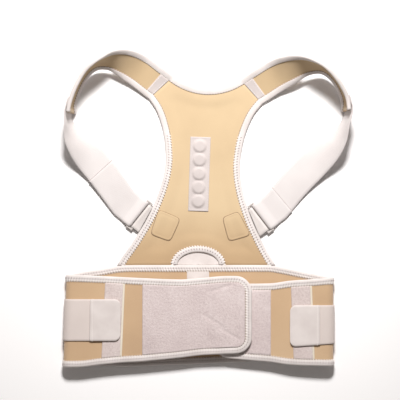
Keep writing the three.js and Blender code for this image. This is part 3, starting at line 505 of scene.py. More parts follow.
def lay(name, grid, normals, thickness, offset, material, slot, rim=0.35):
    """Its solid has the sheet's name without the last word."""
    piece = cloth(name, grid, thickness, offset, normals, rim)
    dress(piece, material, slot, name.rsplit("_", 1)[0])
    declare(grid)
    return piece

def flat(grid):
    """Normals of a sheet that faces straight up."""
    return np.broadcast_to(up, grid.shape)

def plan_uv(piece):
    """Let the weave run straight across the table, with the piece's plan as its UV map."""
    for loop, uv in zip(piece.data.loops, piece.data.uv_layers["cloth"].data):
        co = piece.data.vertices[loop.vertex_index].co
        uv.uv = (co.x, co.y)
print("cloth can be laid")

# %% [markdown]
# ## The back yoke
# The yoke is one sheet of knit-faced neoprene. A grid stretched between its two arm edges, its foot with the
# arch window and the neck line follows the outline everywhere, so no cutting is needed. Foam cloth is
# never quite flat, so slow waves of a few tenths of a millimetre lie over it, dying out under the binding.

# %% Outline of the yoke
ROWS = 72
EDGE_Z = NEOPRENE

def arm_edge(sign):
    """The arm's edge from the foot line, found by closing in on it, up to the strap's seam."""
    foot = 0.0
    for _ in range(40):
        foot -= leaned(sign * curve(YOKE_HALF, foot), foot)[1] - FOOT_Y
    heights = np.linspace(foot, SEAM_ARM[1], ROWS + 1)
    return np.array([leaned(sign * curve(YOKE_HALF, v), v, EDGE_Z) for v in heights])

left_arm, right_arm = arm_edge(-1), arm_edge(1)

def seam_edge(sign):
    a, b = np.array(SEAM_ARM), np.array(SEAM_NECK)
    return [leaned(sign * p[0], p[1], EDGE_Z) for p in (a + (b - a) * t for t in np.linspace(0, 1, 15))]

neck_edge = [leaned(u, curve(NECK, abs(u)), EDGE_Z) for u in np.linspace(-SEAM_NECK[0], SEAM_NECK[0], 45)]
top_edge = np.array(seam_edge(-1) + neck_edge[1:-1] + seam_edge(1)[::-1])
COLS = len(top_edge) - 1
ARCH_STEPS = 28
arch_edge = np.array([(ARCH_X + ARCH_HALF * math.cos(a), FOOT_Y + ARCH_TALL * math.sin(a), EDGE_Z)
                      for a in np.linspace(math.pi, 0, ARCH_STEPS + 1)])
side_steps = (COLS - ARCH_STEPS) // 2
blend = lambda a, b, n: [a + (b - a) * k / n for k in range(n)]
foot_edge = np.array(blend(left_arm[0], arch_edge[0], side_steps) + list(arch_edge)
                     + blend(right_arm[0], arch_edge[-1], COLS - ARCH_STEPS - side_steps)[::-1])
print("yoke grid", ROWS, "by", COLS, len(foot_edge) - 1)

# %% Height of the yoke and its grid
outline = np.vstack([foot_edge, right_arm[1:], top_edge[::-1][1:], left_arm[::-1][1:-1]])[:, :2]

def line_distance(point, starts, ends):
    """Shortest way in plan from a point to a chain of straight pieces."""
    step, p = ends - starts, point - starts
    t = np.clip((p * step).sum(1) / np.maximum(1e-9, (step**2).sum(1)), 0, 1)
    return float(np.sqrt(((p - step * t[:, None]) ** 2).sum(1)).min())

def ripple(x, y):
    return (0.35 * math.sin(x * 0.055 + 1.1) * math.sin(y * 0.043 + 0.4)
            + 0.22 * math.sin((x + y) * 0.031 + 2.0) + 0.12 * math.sin((x - 0.6 * y) * 0.09))

def yoke_z(x, y):
    """Middle of the foam: at the bindings' height along the edge, and close to the table inside."""
    d = line_distance(np.array([x, y]), outline, np.roll(outline, -1, axis=0))
    return NEOPRENE / 2 + 1.5 * (1 - smoothstep(d, 14, 30)) + max(0.0, 0.5 + ripple(x, y)) * smoothstep(d, 12, 34)

t = np.arange(ROWS + 1)[:, None, None] / ROWS
s = np.arange(COLS + 1)[None, :, None] / COLS
grid = (foot_edge * (1 - t) + top_edge * t + left_arm[:, None] * (1 - s) + right_arm[:, None] * s
        - foot_edge[0] * (1 - s) * (1 - t) - foot_edge[COLS] * s * (1 - t)
        - top_edge[0] * (1 - s) * t - top_edge[COLS] * s * t)
plan = grid[:, :, :2]
for _ in range(900):  # relax the inner points, so the cells stay even where the outline turns sharply
    plan[1:-1, 1:-1] += 0.5 * (0.5 * (plan[:-2, 1:-1] + plan[2:, 1:-1]) * 0.5
                               + 0.5 * (plan[1:-1, :-2] + plan[1:-1, 2:]) * 0.5 - plan[1:-1, 1:-1])
grid[:, :, 2] = [[yoke_z(x, y) for x, y in row] for row in plan]
yoke = lay("back_yoke_cloth", grid, flat(grid), NEOPRENE, 0.0, NEOPRENE_YOKE, "neoprene_beige")
plan_uv(yoke)
print("yoke area", round(cloth_area(grid) / 100), "cm2")

# %% [markdown]
# ## Shoulder straps
# A strap is a flat strip that leaves the yoke, rises off the table and turns onto its edge, as a strip must
# when it is bent round in its own plane. Rows across it follow a path of stations, each with its own turn.

# %% Rows across a strap
def stations(side, rows):
    sign = sign_of(side)
    return [tuple(leaned(sign * u, v)[:2]) + (math.radians(turn), low) for u, v, turn, low in rows]

def strap_rows(side, rows, count):
    """Centre, direction to the outer side, turn and low edge of each row."""
    sign = sign_of(side)
    path = smooth_rows(rows, count)
    tangent = np.gradient(path[:, :2], axis=0)
    return path, unit_rows(np.stack([-tangent[:, 1] * sign, tangent[:, 0] * sign, np.zeros(count)], axis=1))

def strap_grid(path, out, width, thickness, shares, cup=0.0):
    """Rows of points. cup bows the cloth's middle outwards where the strap stands on its edge."""
    rows = []
    for k, ((x, y, turn, low), o) in enumerate(zip(path, out)):
        across = o * math.cos(turn) + up * math.sin(turn)
        back = up * math.cos(turn) - o * math.sin(turn)
        mid = np.array([x, y, low + width / 2 * math.sin(turn) + thickness / 2 * math.cos(turn)])
        bow = cup * smoothstep(k / (len(path) - 1), 0.35, 0.62) * (1 - smoothstep(k / (len(path) - 1), 0.93, 1.0))
        rows.append([mid + across * width * (s - 0.5) - back * bow * (1 - (2 * s - 1) ** 2) for s in shares])
    return np.array(rows)

SIDES = ("left", "right")
STRAP_SHARES = np.linspace(0, 1, 15)
CUP = 4.6
EASE = 9  # rows from the seam in which the strap takes its own direction
straps = {}
for side in SIDES:
    sign = sign_of(side)
    path, out = strap_rows(side, stations(side, STRAP[side]), 81)
    seam = unit(leaned(sign * SEAM_NECK[0], SEAM_NECK[1]) - leaned(sign * SEAM_ARM[0], SEAM_ARM[1]))
    for k in range(EASE):
        out[k] = unit(seam * (1 - k / EASE) + out[k] * (k / EASE))
    g = strap_grid(path, out, STRAP_W, NEOPRENE, STRAP_SHARES, CUP)
    n = grid_normals(g)
    if n[4, 7, 2] < 0:
        n = -n
    n[0] = up
    straps[side] = {"grid": g, "normals": n, "path": path, "out": out}
    start = g.copy()
    start[0] += (g[1] - g[0]) * 0.15
    piece = lay(f"shoulder_strap_{side}_cloth", start, n, NEOPRENE, 0.0, NEOPRENE_STRAP_SHADED, "neoprene_beige")
    print("shoulder strap", side, len(piece.data.vertices), "points")

# %% [markdown]
# ## Edge binding
# Every edge of the neoprene is wrapped in a folded tape. Its section is a rounded U that grips both faces of
# the sheet. The arm and neck bindings run without a break from the yoke onto the shoulder straps.

# %% Binding profile and the samples that it follows
BOUND_TOP = NEOPRENE / 2 + GAP + BIND_WALL
GRIP = NEOPRENE / 2 + 0.06
UPPER = [(-BIND_IN - 0.9, GRIP), (-BIND_IN - 0.5, GRIP + 0.35), (-BIND_IN + 0.4, GRIP + 0.95),
         (-5.0, BOUND_TOP - 0.1), (-2.5, BOUND_TOP), (-0.4, BOUND_TOP - 0.15), (0.8, BOUND_TOP - 0.7), (1.4, 1.2)]
U_SECTION = UPPER + [(1.5, 0.0)] + [(a, -b) for a, b in UPPER[::-1]] + [(0.15, -GRIP), (0.15, GRIP)]

def edge_outs(points, normals, sign, loop=False):
    """Directions that point away from the cloth, square to its edge."""
    around = np.roll(points, -1, axis=0) - np.roll(points, 1, axis=0) if loop else np.gradient(points, axis=0)
    return unit_rows(np.cross(around, normals) * sign)

# rows of stitches: points, directions, normals and whether the row closes
stitch_rows, fine_rows, hole_shade_rows, running_rows = [], [], [], []
FINE_ABOVE = 40.0  # from this height up the picture a binding's stitches are fine and sunk, and hardly show

def bind(node, points, outs, normals, loop=False):
    """Sweep the section along an edge, and note where its stitches and the painted shade of its needle holes go on
    both faces.
    """
    piece = sweep(f"{node}_tape", list(zip(points, outs, normals)), U_SECTION, loop)
    dress(piece, TAPE_BINDING, "white_tape", node)
    slanted = outs + 0.35 * unit_rows(np.gradient(points, axis=0))
    for face in (1, -1):
        row = points - outs * (BIND_IN - 1.1) + normals * face * (NEOPRENE / 2 + 0.85)
        # the needle holes get dark marks of painted shade in their dimples
        hole = points - outs * (BIND_IN - 4.3) + normals * face * (BOUND_TOP - 0.62)
        high = row[:, 1] > FINE_ABOVE
        split = int(np.argmax(high)) if high.any() else len(row)
        whole = loop and split == len(row)
        if split > 1:
            stitch_rows.append((row[:split], slanted[:split], normals[:split] * face, whole))
            hole_shade_rows.append((hole[:split], slanted[:split], normals[:split] * face, whole))
        if split < len(row):
            fine_rows.append((row[split:], slanted[split:], normals[split:] * face, False))

arms = {"left": left_arm, "right": right_arm}
for side in SIDES:
    sign, arm, s = sign_of(side), arms[side], straps[side]
    lower = s["grid"][1:, 0]
    foot = arm[:1] + (arm[:1] - arm[1:2]) * 0.35
    points = np.vstack([foot, arm[1:], lower])
    normals = np.vstack([np.tile(up, (len(arm), 1)), s["normals"][1:, 0]])
    outs = edge_outs(points, normals, sign)
    outs[0] = np.array([sign * 1.15, 0, 0])
    outs[len(arm):] = unit_rows(s["grid"][1:, 0] - s["grid"][1:, 1])
    outs[len(arm) - 1] = -s["out"][0]
    for k in range(1, 8):  # ease from the yoke's own direction to that of the seam
        i = len(arm) - 1 - k
        outs[i] = unit(outs[i] * (k / 8) - s["out"][0] * (1 - k / 8))
    bind(f"arm_binding_{side}", points, outs, normals)

neck = np.array(neck_edge)
left_up, right_up = straps["left"], straps["right"]
points = np.vstack([left_up["grid"][1:, -1][::-1], neck, right_up["grid"][1:, -1]])
normals = np.vstack([left_up["normals"][1:, -1][::-1], np.tile(up, (len(neck), 1)), right_up["normals"][1:, -1]])
outs = edge_outs(points, normals, -1)
count = len(left_up["grid"]) - 1
outs[:count] = unit_rows(left_up["grid"][1:, -1] - left_up["grid"][1:, -2])[::-1]
outs[count + len(neck):] = unit_rows(right_up["grid"][1:, -1] - right_up["grid"][1:, -2])
outs[count], outs[count + len(neck) - 1] = left_up["out"][0], right_up["out"][0]
for k in range(1, 6):
    for i, o in ((count + k, left_up["out"][0]), (count + len(neck) - 1 - k, right_up["out"][0])):
        outs[i] = unit(outs[i] * (k / 6) + o * (1 - k / 6))
bind("neck_binding", points, outs, normals)

arch_normals = np.tile(up, (len(arch_edge), 1))
outs = edge_outs(arch_edge, arch_normals, 1)
outs[0], outs[-1] = np.array([1.0, 0, 0]), np.array([-1.0, 0, 0])
bind("arch_binding", arch_edge, outs, arch_normals)
print("binding rows:", len(stitch_rows))

# %% [markdown]
# ## The panel behind the arch
# The window at the foot of the yoke is filled with a smooth white cloth, set lower than its binding.

# %% Arch panel
inset = BIND_OUT + GAP
t, a = np.meshgrid(np.linspace(0.02, 1, 16), np.linspace(math.pi, 0, 33), indexing="ij")
x = ARCH_X + (ARCH_HALF - inset) * np.cos(a) * t
y = FOOT_Y + (ARCH_TALL - inset) * np.sin(a) * t
arch_grid = np.stack([x, y, 2.1 + 0.25 * np.sin(x * 0.11) * np.sin(y * 0.2)], axis=2)
lay("arch_panel_cloth", arch_grid, flat(arch_grid), PATCH, 0.0, TAPE_SMOOTH, "white_tape")

# %% [markdown]
# ## Seam tapes
# A short white tape covers the start of each shoulder strap, between the two bindings.

# %% Seam tapes on the straps
def strap_patch(side, along, across):
    """Grid on the strap's upper face. along is in mm from the seam, across are shares of its width."""
    g, n = straps[side]["grid"], straps[side]["normals"]
    length = run(g[:, 7])
    rows, norms = [], []
    for a in np.linspace(*along, 9):
        k = min(len(g) - 2, int(np.searchsorted(length, a, side="right")) - 1)
        f = (a - length[k]) / (length[k + 1] - length[k])
        left, right = g[k] * (1 - f) + g[k + 1] * f, n[k] * (1 - f) + n[k + 1] * f
        rows.append([left[0] + (left[-1] - left[0]) * s for s in np.linspace(*across, 15)])
        norms.append([unit(right[7])] * 15)
    return np.array(rows), np.array(norms)

share = (BIND_IN + 0.35) / STRAP_W
for side in SIDES:
    g, n = strap_patch(side, (0.6, 14.5), (share, 1 - share))
    lay(f"seam_tape_{side}_cloth", g, n, 0.9, NEOPRENE / 2 + 0.5, TAPE_DULL, "white_tape")
    for row in (g[1], g[-2]):
        running_rows.append((row + n[0] * (NEOPRENE / 2 + 0.95), unit_rows(np.gradient(row, axis=0)), n[0], False))
print("seam tapes made")

# %% [markdown]
# ## Elastic straps, rings and keepers
# From the end of each shoulder strap a ribbed elastic comes down to the table, goes through a ring at the side
# of the yoke and folds back over itself. A keeper of white tape holds the ring to the yoke.

# %% Elastic straps
def bar_frame(side):
    """Where a ring's bar runs, the way in to the yoke, and the places that elastic and keeper start from."""
    sign = sign_of(side)
    ru, rv, angle = RING[side]
    c, s = math.cos(math.radians(angle)), math.sin(math.radians(angle))
    bar = unit(leaned(-sign * c, WAIST_V - s) - leaned(0, WAIST_V))
    inward = np.array([bar[1] * sign, -bar[0] * sign, 0.0])
    fold = leaned(sign * ru, rv)
    wrap = RING_BAR + GAP + ELASTIC / 2
    bar_a = fold - inward * (wrap + ELASTIC / 2)
    bar_a[2] = RING_Z
    return bar, inward, fold, wrap, bar_a

end_shade_rows = []
SHARES = np.linspace(0, 1, 13)
LIFT = ELASTIC + 0.45  # from the elastic to its folded-back end
DESCENT = 14  # in this length the folded-back end comes down from the bar
ASIDE, RUN_IN = 5, 30  # how far outside the strap the elastic starts, and its straight way to the ring
for side in SIDES:
    bar, inward, fold, wrap, bar_a = bar_frame(side)
    last = straps[side]
    total = len(last["path"]) - 1
    begin = []
    for k in (total * 16 // 18, total * 17 // 18, total):
        x, y, turn, low = last["path"][k]
        p = np.array([x, y, 0]) + last["out"][k] * ASIDE
        begin.append((p[0], p[1], turn, low + 1))
    near = fold - inward * RUN_IN
    rows = begin + stations(side, TAIL[side]) + [(near[0], near[1], 0.0, 0.1)]
    path, out = strap_rows(side, rows, 121)
    for k in range(1, 26):  # the last rows turn square to the ring
        w = 1 - k / 26
        out[-k] = unit(out[-k] * (1 - w) + bar * w * math.copysign(1, np.dot(bar, out[-k])))
    lower = strap_grid(path, out, ELASTIC_W, ELASTIC, SHARES)
    across = bar * math.copysign(1, np.dot(bar, out[-1]))
    row_at = lambda p: np.array([p + across * ELASTIC_W * (s - 0.5) for s in SHARES])
    at = lambda d, z: np.array([*(bar_a + inward * d)[:2], z])
    flat_z = 0.1 + ELASTIC / 2
    start = lower[-1][6]
    rows = list(lower)
    for t in np.linspace(0.15, 1, 8):
        p = start * (1 - t) + at(-9, flat_z) * t
        p[2] = flat_z
        rows.append(row_at(p))
    for k in range(13):
        a = -math.pi / 2 + math.pi * k / 12
        rows.append(row_at(at(wrap * math.cos(a), RING_Z + wrap * math.sin(a))))
    for t in np.linspace(0.12, 1, 8):
        rows.append(row_at(at(-DESCENT * t, RING_Z + wrap + (flat_z + LIFT - RING_Z - wrap) * smoothstep(t, 0, 1))))
    spare = FOLDBACK[side] - DESCENT
    spot = at(-DESCENT, 0)
    k = len(lower) - 1
    while spare > 0.5 and k > 0:
        here = lower[k][6] * np.array([1, 1, 0])
        step = float(np.linalg.norm(here - spot))
        if step > 0.8 and step < spare + 3:
            tilt = path[k][2]
            n_up = np.array([-out[k][0] * math.sin(tilt), -out[k][1] * math.sin(tilt), math.cos(tilt)])
            rows.append(lower[k] + n_up * LIFT)
            spot = here
            spare -= step
        k -= 1
    g = np.array(rows)
    # a grey cord over the edge of the folded-back end: painted shade along the end
    last_row = g[-1] + unit(g[-1][6] - g[-2][6]) * 0.3 - n_up * 0.35
    along = unit_rows(np.gradient(last_row, axis=0))
    end_shade_rows.append((last_row, along, np.tile(n_up, (len(last_row), 1)), False))
    lay(f"elastic_strap_{side}_cloth", g, None, ELASTIC - 0.2, 0.0, ELASTIC_WHITE, "white_elastic", 0.3)
    print("elastic", side, "end", g[-1][6].round(1))

# %% Keepers round the rings
def reach_to_yoke(side, start, inward):
    """How far a keeper can go from its ring before it meets the arm's binding."""
    arm, d = arms[side][:, :2], 1.0
    while d < 30 and line_distance((start + inward * d)[:2], arm[:-1], arm[1:]) >= BIND_OUT + 0.4:
        d += 0.1
    return d - 0.1

BAR_TO_BAR, KEEPER_HALF, KEEPER_RISE = 8, 0.46, 1.2  # mm, share of the elastic's width, mm
round_r = RING_BAR + GAP + PATCH / 2
for side in SIDES:
    bar, inward, fold, wrap, bar_a = bar_frame(side)
    bar_b = bar_a + inward * BAR_TO_BAR
    ends = [bar_b + bar * t * ELASTIC_W for t in (-KEEPER_HALF, KEEPER_HALF)]
    reach = [reach_to_yoke(side, e, inward) for e in ends]
    near = np.array([ends[0] * (1 - t) + ends[1] * t for t in SHARES])
    far = np.array([reach[0] * (1 - t) + reach[1] * t for t in SHARES])

    def keeper_row(along, z):
        row = near + inward * np.reshape(along, (-1, 1))
        row[:, 2] = z
        return row

    way_in = np.linspace(1, 0.15, 6)
    rise = KEEPER_RISE + (round_r - KEEPER_RISE) * (1 - way_in)
    rows = [keeper_row(far * f, RING_Z - h) for f, h in zip(way_in, rise)]
    for a in -math.pi / 2 - math.pi * np.arange(13) / 12:
        rows.append(keeper_row(round_r * math.cos(a), RING_Z + round_r * math.sin(a)))
    rows += [keeper_row(far * f, RING_Z + h) for f, h in zip(way_in[::-1], rise[::-1])]
    lay(f"keeper_{side}_cloth", np.array(rows), None, PATCH, 0.0, TAPE_WHITE, "white_tape")
print("keepers made")

# %% [markdown]
# ## The waist belt
# The belt is one long sheet. In plan it is a flattened ring: it starts at the right flap, goes round the right
# fold, along the back, round the left fold and ends at the left flap, which lies over the right one. At each
# place of that path the two edges follow their tables, so the sheet narrows to the flap ends.

# %% Path of the belt
belt_path = []

def add_place(x, z, name, drop=None):
    """drop is set in a flap's corners alone: how far each edge has drawn in there."""
    belt_path.append({"x": x, "z": z, "name": name, "drop": drop})

def front_z(x, side):
    return curve(LEFT_Z if side == "left" else RIGHT_Z, x / BELT_HALF)

fold_x = BELT_HALF - FOLD_R
STEPS_ROUND = 14  # places round a fold, and round a flap's corner

def add_corner(end, side, turns):
    for a in turns:
        x = end + sign_of(side) * FLAP_TIP_R * (1 - math.sin(a))
        add_place(x, front_z(x, side), side, FLAP_TIP_R * (1 - math.cos(a)))

def add_front(start, end, side, count):
    for x in np.linspace(start, end, count):
        add_place(x, front_z(x, side), side)

def add_fold(sign):
    for a in math.pi * np.arange(1, STEPS_ROUND) / STEPS_ROUND:
        add_place(sign * (fold_x + math.sin(a) * FOLD_R), BACK_Z + FOLD_R + sign * math.cos(a) * FOLD_R, "fold")

corner_turns = math.pi / 2 * np.arange(1, STEPS_ROUND + 1) / STEPS_ROUND
add_corner(RIGHT_END, "right", corner_turns[::-1])
add_front(RIGHT_END + FLAP_TIP_R, fold_x, "right", 49)
add_fold(1)
for x in np.linspace(fold_x, -fold_x, 97):
    add_place(x, BACK_Z, "back")
add_fold(-1)
add_front(-fold_x, LEFT_END - FLAP_TIP_R, "left", 73)
add_corner(LEFT_END, "left", corner_turns)

EDGE_TABLES = {"right": (RIGHT_TOP, RIGHT_BOTTOM), "left": (LEFT_TOP, LEFT_BOTTOM), "back": (BACK_TOP, BACK_BOTTOM)}

def limits(x, name, drop=0.0, z=None):
    """How far down the belt its two edges are, at a place along it."""
    share = x / BELT_HALF

    def of(k):
        if name != "fold":
            return curve(EDGE_TABLES[name][k], share)
        front = curve(EDGE_TABLES["right" if share > 0 else "left"][k], share)
        back = curve(EDGE_TABLES["back"][k], share)
        t = (z - BACK_Z) / (2 * FOLD_R) if z is not None else 0.5
        return front * t + back * (1 - t)
    return of(0) + BIND_OUT + (drop or 0), of(1) - BIND_OUT - (drop or 0)

def belt_point(x, z, down):
    """Point on the belt's middle sheet; the left side leans a little to match the picture."""
    skew = SIDE_SKEW * (-x / BELT_HALF) ** 3 * down / 150 if x < 0 else 0.0
    return np.array([BELT_X + x + skew, BELT_TOP - down, z])

xz = np.array([(s["x"], s["z"]) for s in belt_path])
d = np.gradient(xz, axis=0)
belt_normals = unit_rows(np.stack([-d[:, 1], np.zeros(len(d)), d[:, 0]], axis=1))
back_k = next(i for i, s in enumerate(belt_path) if s["name"] == "back") + 20
if belt_normals[back_k, 2] > 0:
    belt_normals = -belt_normals
print("belt path:", len(belt_path), "places")

# %% [markdown]
# Foam cloth that closes round a waist keeps slow waves across it. They are added as a height that
# is zero along the binding and near the folds, so the neighbours stay clear.

# %% Belt sheet and its binding
BELT_COLS = 25

def belt_wave(s, share):
    if s["name"] == "fold":
        return 0.0
    calm = math.sin(math.pi * share) * min(1.0, max(0.0, (fold_x - abs(s["x"])) / 40))
    end = LEFT_END if s["name"] == "left" else BELT_HALF
    calm *= min(1.0, max(0.0, abs(end - s["x"]) / 25))
    wave = 0.5 * math.sin(s["x"] * 0.05 + 0.6) + 0.35 * math.sin(s["x"] * 0.021 + share * 3.0)
    return 0.45 * calm * wave if s["name"] != "back" else 0.0

belt_rows = []
for s, n in zip(belt_path, belt_normals):
    top, bottom = limits(s["x"], s["name"], s["drop"], s["z"])
    belt_rows.append([belt_point(s["x"], s["z"], top + (bottom - top) * t) + n * belt_wave(s, t)
                      for t in np.linspace(0, 1, BELT_COLS)])
belt_grid = np.array(belt_rows)
wide_normals = np.repeat(belt_normals[:, None, :], BELT_COLS, axis=1)
lay("belt_cloth", belt_grid, wide_normals, NEOPRENE, 0.0, NEOPRENE_BELT_SHADED, "neoprene_beige")

# The binding's way round the belt: along the upper edge, down the left end, back below and up the right end.
last = len(belt_path) - 1
steps = [(i, 0) for i in range(last + 1)] + [(last, j) for j in range(2, BELT_COLS - 2, 2)]
steps += [(i, BELT_COLS - 1) for i in range(last, -1, -1)] + [(0, j) for j in range(BELT_COLS - 3, 1, -2)]
points = np.array([belt_grid[i, j] for i, j in steps])
normals = np.array([belt_normals[i] for i, j in steps])
outs = edge_outs(points, normals, 1, True)
outs *= math.copysign(1, np.dot(outs[20], points[20] - belt_grid[20, 10]))
for k, (i, j) in enumerate(steps):
    if belt_path[i]["drop"] is None and j in (0, BELT_COLS - 1):
        outs[k] = unit(belt_grid[i, j] - belt_grid[i, 3 if j == 0 else BELT_COLS - 4])
bind("belt_binding", points, outs, normals, loop=True)
print("belt sheet", round(cloth_area(belt_grid) / 100), "cm2")

# %% [markdown]
# ## Loop panels, strips and tabs
# Brushed loop fabric covers most of the front flaps, and two upright strips of it take the hooks of the side
# tabs. Each is a sheet laid on the belt's outer face at its own height.

# %% Sheets on the belt
INNER_R = FLAP_TIP_R - BIND_IN - 0.7
PANEL_END = LEFT_END - BIND_IN - 1.5

def in_corner(x):
    """How much the left panel's rows shorten near the flap's rounded end."""
    d = max(0.0, x - (LEFT_END - FLAP_TIP_R))
    return INNER_R - math.sqrt(max(0.0, INNER_R**2 - d**2))

layer_rows = {side: sorted((s["x"], s["z"], tuple(n)) for s, n in zip(belt_path, belt_normals) if s["name"] == side)
              for side in SIDES}

def layer_at(name, x):
    """Height and normal of a flap at a place along the belt."""
    rows = layer_rows[name]
    xs = [r[0] for r in rows]
    k = min(len(rows) - 2, max(0, int(np.searchsorted(xs, x)) - 1))
    t = (x - xs[k]) / max(1e-6, xs[k + 1] - xs[k])
    n = unit(np.array(rows[k][2]) * (1 - t) + np.array(rows[k + 1][2]) * t)
    return rows[k][1] * (1 - t) + rows[k + 1][1] * t, n

def on_belt(name, start, end, skew=0.0, counts=(41, 31), dent=None):
    """Grid on a flap's outer face, between its bindings."""
    rows, norms = [], []
    for x in np.linspace(start, end, counts[0]):
        row, nrow = [], []
        for t in np.linspace(0, 1, counts[1]):
            xx = x + skew * t
            z, n = layer_at(name, xx)
            top, bottom = limits(xx, name)
            cut = in_corner(xx) if name == "left" else 0.0
            lo, hi = top + BIND_IN + 1.0 + cut, bottom - BIND_IN - 1.0 - cut
            down = lo + (hi - lo) * t
            share = (down - top) / (bottom - top)
            p = belt_point(xx, z, down) + n * belt_wave({"x": xx, "name": name}, share)
            row.append(p + n * dent(xx, down) if dent else p)
            nrow.append(n)
        rows.append(row)
        norms.append(nrow)
    return np.array(rows), np.array(norms)

def bulge_of_lower_flap(x, down):
    """The end of the right flap shows through the left one as a low step, and slanted creases run from it."""
    step = 0.8 * smoothstep(x, RIGHT_END - 5, RIGHT_END + 4)
    crease = 0.0
    for x0, y0, slope in ((2.0, 72.0, 0.62), (26.0, 92.0, 0.55), (14.0, 40.0, -0.35)):
        off = (down - y0) - slope * (x - x0)
        along = smoothstep(x, x0 - 4, x0 + 8) * (1 - smoothstep(x, x0 + 28, x0 + 44))
        crease -= 0.75 * math.exp(-((off / 2.2) ** 2)) * along
    return step + crease

def loop_piece(kind, side, material, start, end, above, thick, with_pieces=(), **more):
    g, n = on_belt(side, start, end, **more)
    lay(f"loop_{kind}_pile", g, n, thick, NEOPRENE / 2 + above + thick / 2, material, "loop_pile")

STRIP_SKEW = {"left": -4.0, "right": 4.0}  # how far a strip leans between its upper and lower end

def selvedge(side):
    """The woven cream edge of an upright strip, on its right-hand side."""
    x0 = TRIM[f"{side}_strip"][1] * BELT_HALF + 0.2
    g, n = on_belt(side, x0, x0 + 2.6, STRIP_SKEW[side], (5, 61))
    return dress(cloth(f"selvedge_{side}_tape", g, 0.7, NEOPRENE / 2 + 0.1 + 0.35, n), SELVEDGE, "white_tape")

edges = {side: selvedge(side) for side in SIDES}
for side in SIDES:
    start, end = (share * BELT_HALF for share in TRIM[f"{side}_strip"])
    loop_piece(f"strip_{side}", side, LOOP_STRIP, start, end, 0.1, 1.1, [edges[side]],
               skew=STRIP_SKEW[side], counts=(15, 61))
print("strips made")

# %% Panels of brushed loops
loop_piece("panel_left_flap", "left", LOOP_PILE, TRIM["left_panel"][0] * BELT_HALF, PANEL_END, 0.2, PATCH,
           counts=(91, 61), dent=bulge_of_lower_flap)
start, end = (share * BELT_HALF for share in TRIM["right_panel"])
loop_piece("panel_right_flap", "right", LOOP_PILE, start, end, 0.1, 1.1)
print("panels made")

# %% Side elastics round the folds, and their hook tabs
TAB_RISE = {"left": 0.0, "right": 4.6}  # how far the lower edge has risen where the elastic turns round the fold

def tab_span(side, x):
    """Where the elastic or tab starts and ends down the belt, at a place along it."""
    free = (TRIM["left_tab"][1] if side == "left" else TRIM["right_tab"][0]) * BELT_HALF
    gone = min(1.0, max(0.0, abs(x - free) / (BELT_HALF - abs(free))))
    return TAB_DROP[side], TAB_DROP[side] + TAB_TALL - TAB_RISE[side] * gone

for side in SIDES:
    sign = sign_of(side)
    end = (TRIM["left_tab"][0] if side == "left" else TRIM["right_tab"][1]) * BELT_HALF
    places = [(s, n) for s, n in zip(belt_path, belt_normals)
              if s["x"] * sign > BACK_REACH * BELT_HALF and s["name"] in ("fold", "back", side)
              and not (s["name"] == side and s["x"] * sign < abs(end) + 0.4)]
    if side == "right":
        places = places[::-1]
    z, n_end = layer_at(side, end + sign * 0.2)
    places.append(({"x": end + sign * 0.2, "z": z, "name": side}, n_end))
    g = np.array([[belt_point(s["x"], s["z"], y) for y in np.linspace(*tab_span(side, s["x"]), 25)]
                  for s, n in places])
    nn = np.array([[n] * 25 for s, n in places])
    lay(f"side_elastic_{side}_cloth", g, nn, TAB_WALL, NEOPRENE / 2 + GAP + TAB_WALL / 2, ELASTIC_SIDE,
        "white_elastic")

def rounded_tab(side, places, radius=9.0):
    """The tab's free end has rounded corners: its rows shorten towards that end."""
    a, b = places[0] * BELT_HALF, places[1] * BELT_HALF
    free, other = (b, a) if side == "left" else (a, b)
    sign = -sign_of(side)
    turns = np.linspace(0.15, math.pi / 2, 9)
    xs = [*np.linspace(other, free - sign * radius, 21), *(free - sign * radius * (1 - np.sin(turns)))]
    rows, norms = [], []
    for x in xs:
        s = max(0.0, (x - (free - sign * radius)) * sign)
        cut = min(radius - math.sqrt(max(0.0, radius**2 - s**2)), radius * 0.86)
        z, n = layer_at(side, x)
        lift = 0.25 * smoothstep(abs(x - other), 5, abs(free - other))
        y0, y1 = tab_span(side, x)
        rows.append([belt_point(x, z + lift, y) for y in np.linspace(y0 + cut, y1 - cut, 25)])
        norms.append([n] * 25)
    return np.array(rows), np.array(norms)

TAB_FOOT = NEOPRENE / 2 + PATCH + 3 * GAP  # the tabs lie on the loop cloth
for side in SIDES:
    g, n = rounded_tab(side, TRIM[f"{side}_tab"])
    lay(f"hook_tab_{side}_cloth", g, n, TAB_WALL, TAB_FOOT + TAB_WALL / 2, TAPE_SMOOTH, "white_tape")
    row = g[2] + n[2] * (TAB_FOOT + TAB_WALL + 0.1)
    running_rows.append((row, np.tile([0, 1.0, 0], (len(row), 1)), n[2], False))
print("side elastics and tabs made")

# %% [markdown]
# ## Magnet strip
# Five round magnets are sealed under a white tape down the middle of the back. The tape is one fine height
# field: flat between the magnets, with a low soft dome over each and a narrow welt round its edge.

# %% Strip as a height field over the magnets
STRIP_W, STRIP_TOP, STRIP_BOTTOM, PITCH, MAGNET_R = 30.0, 37.5, -73.5, 20.7, 10.0
strip_turn = LEAN + math.radians(0.8)
strip_mid = (STRIP_TOP + STRIP_BOTTOM) / 2 + 0.6
domes = [strip_mid + k * PITCH for k in (2, 1, 0, -1, -2)]

def dome(x, y):
    h = 0.0
    for y0 in domes:
        r = math.hypot(x + 0.6, y - y0)
        side_slope = 1.9 * (1 - smoothstep(r, MAGNET_R - 3.4, MAGNET_R + 1.8))
        h = max(h, side_slope + 0.3 * max(0.0, 1 - (r / MAGNET_R) ** 2))
    return h

def strip_point(x, y, z):
    c, s = math.cos(strip_turn), math.sin(strip_turn)
    return (-4.6 + x * c - y * s, x * s + y * c, z)

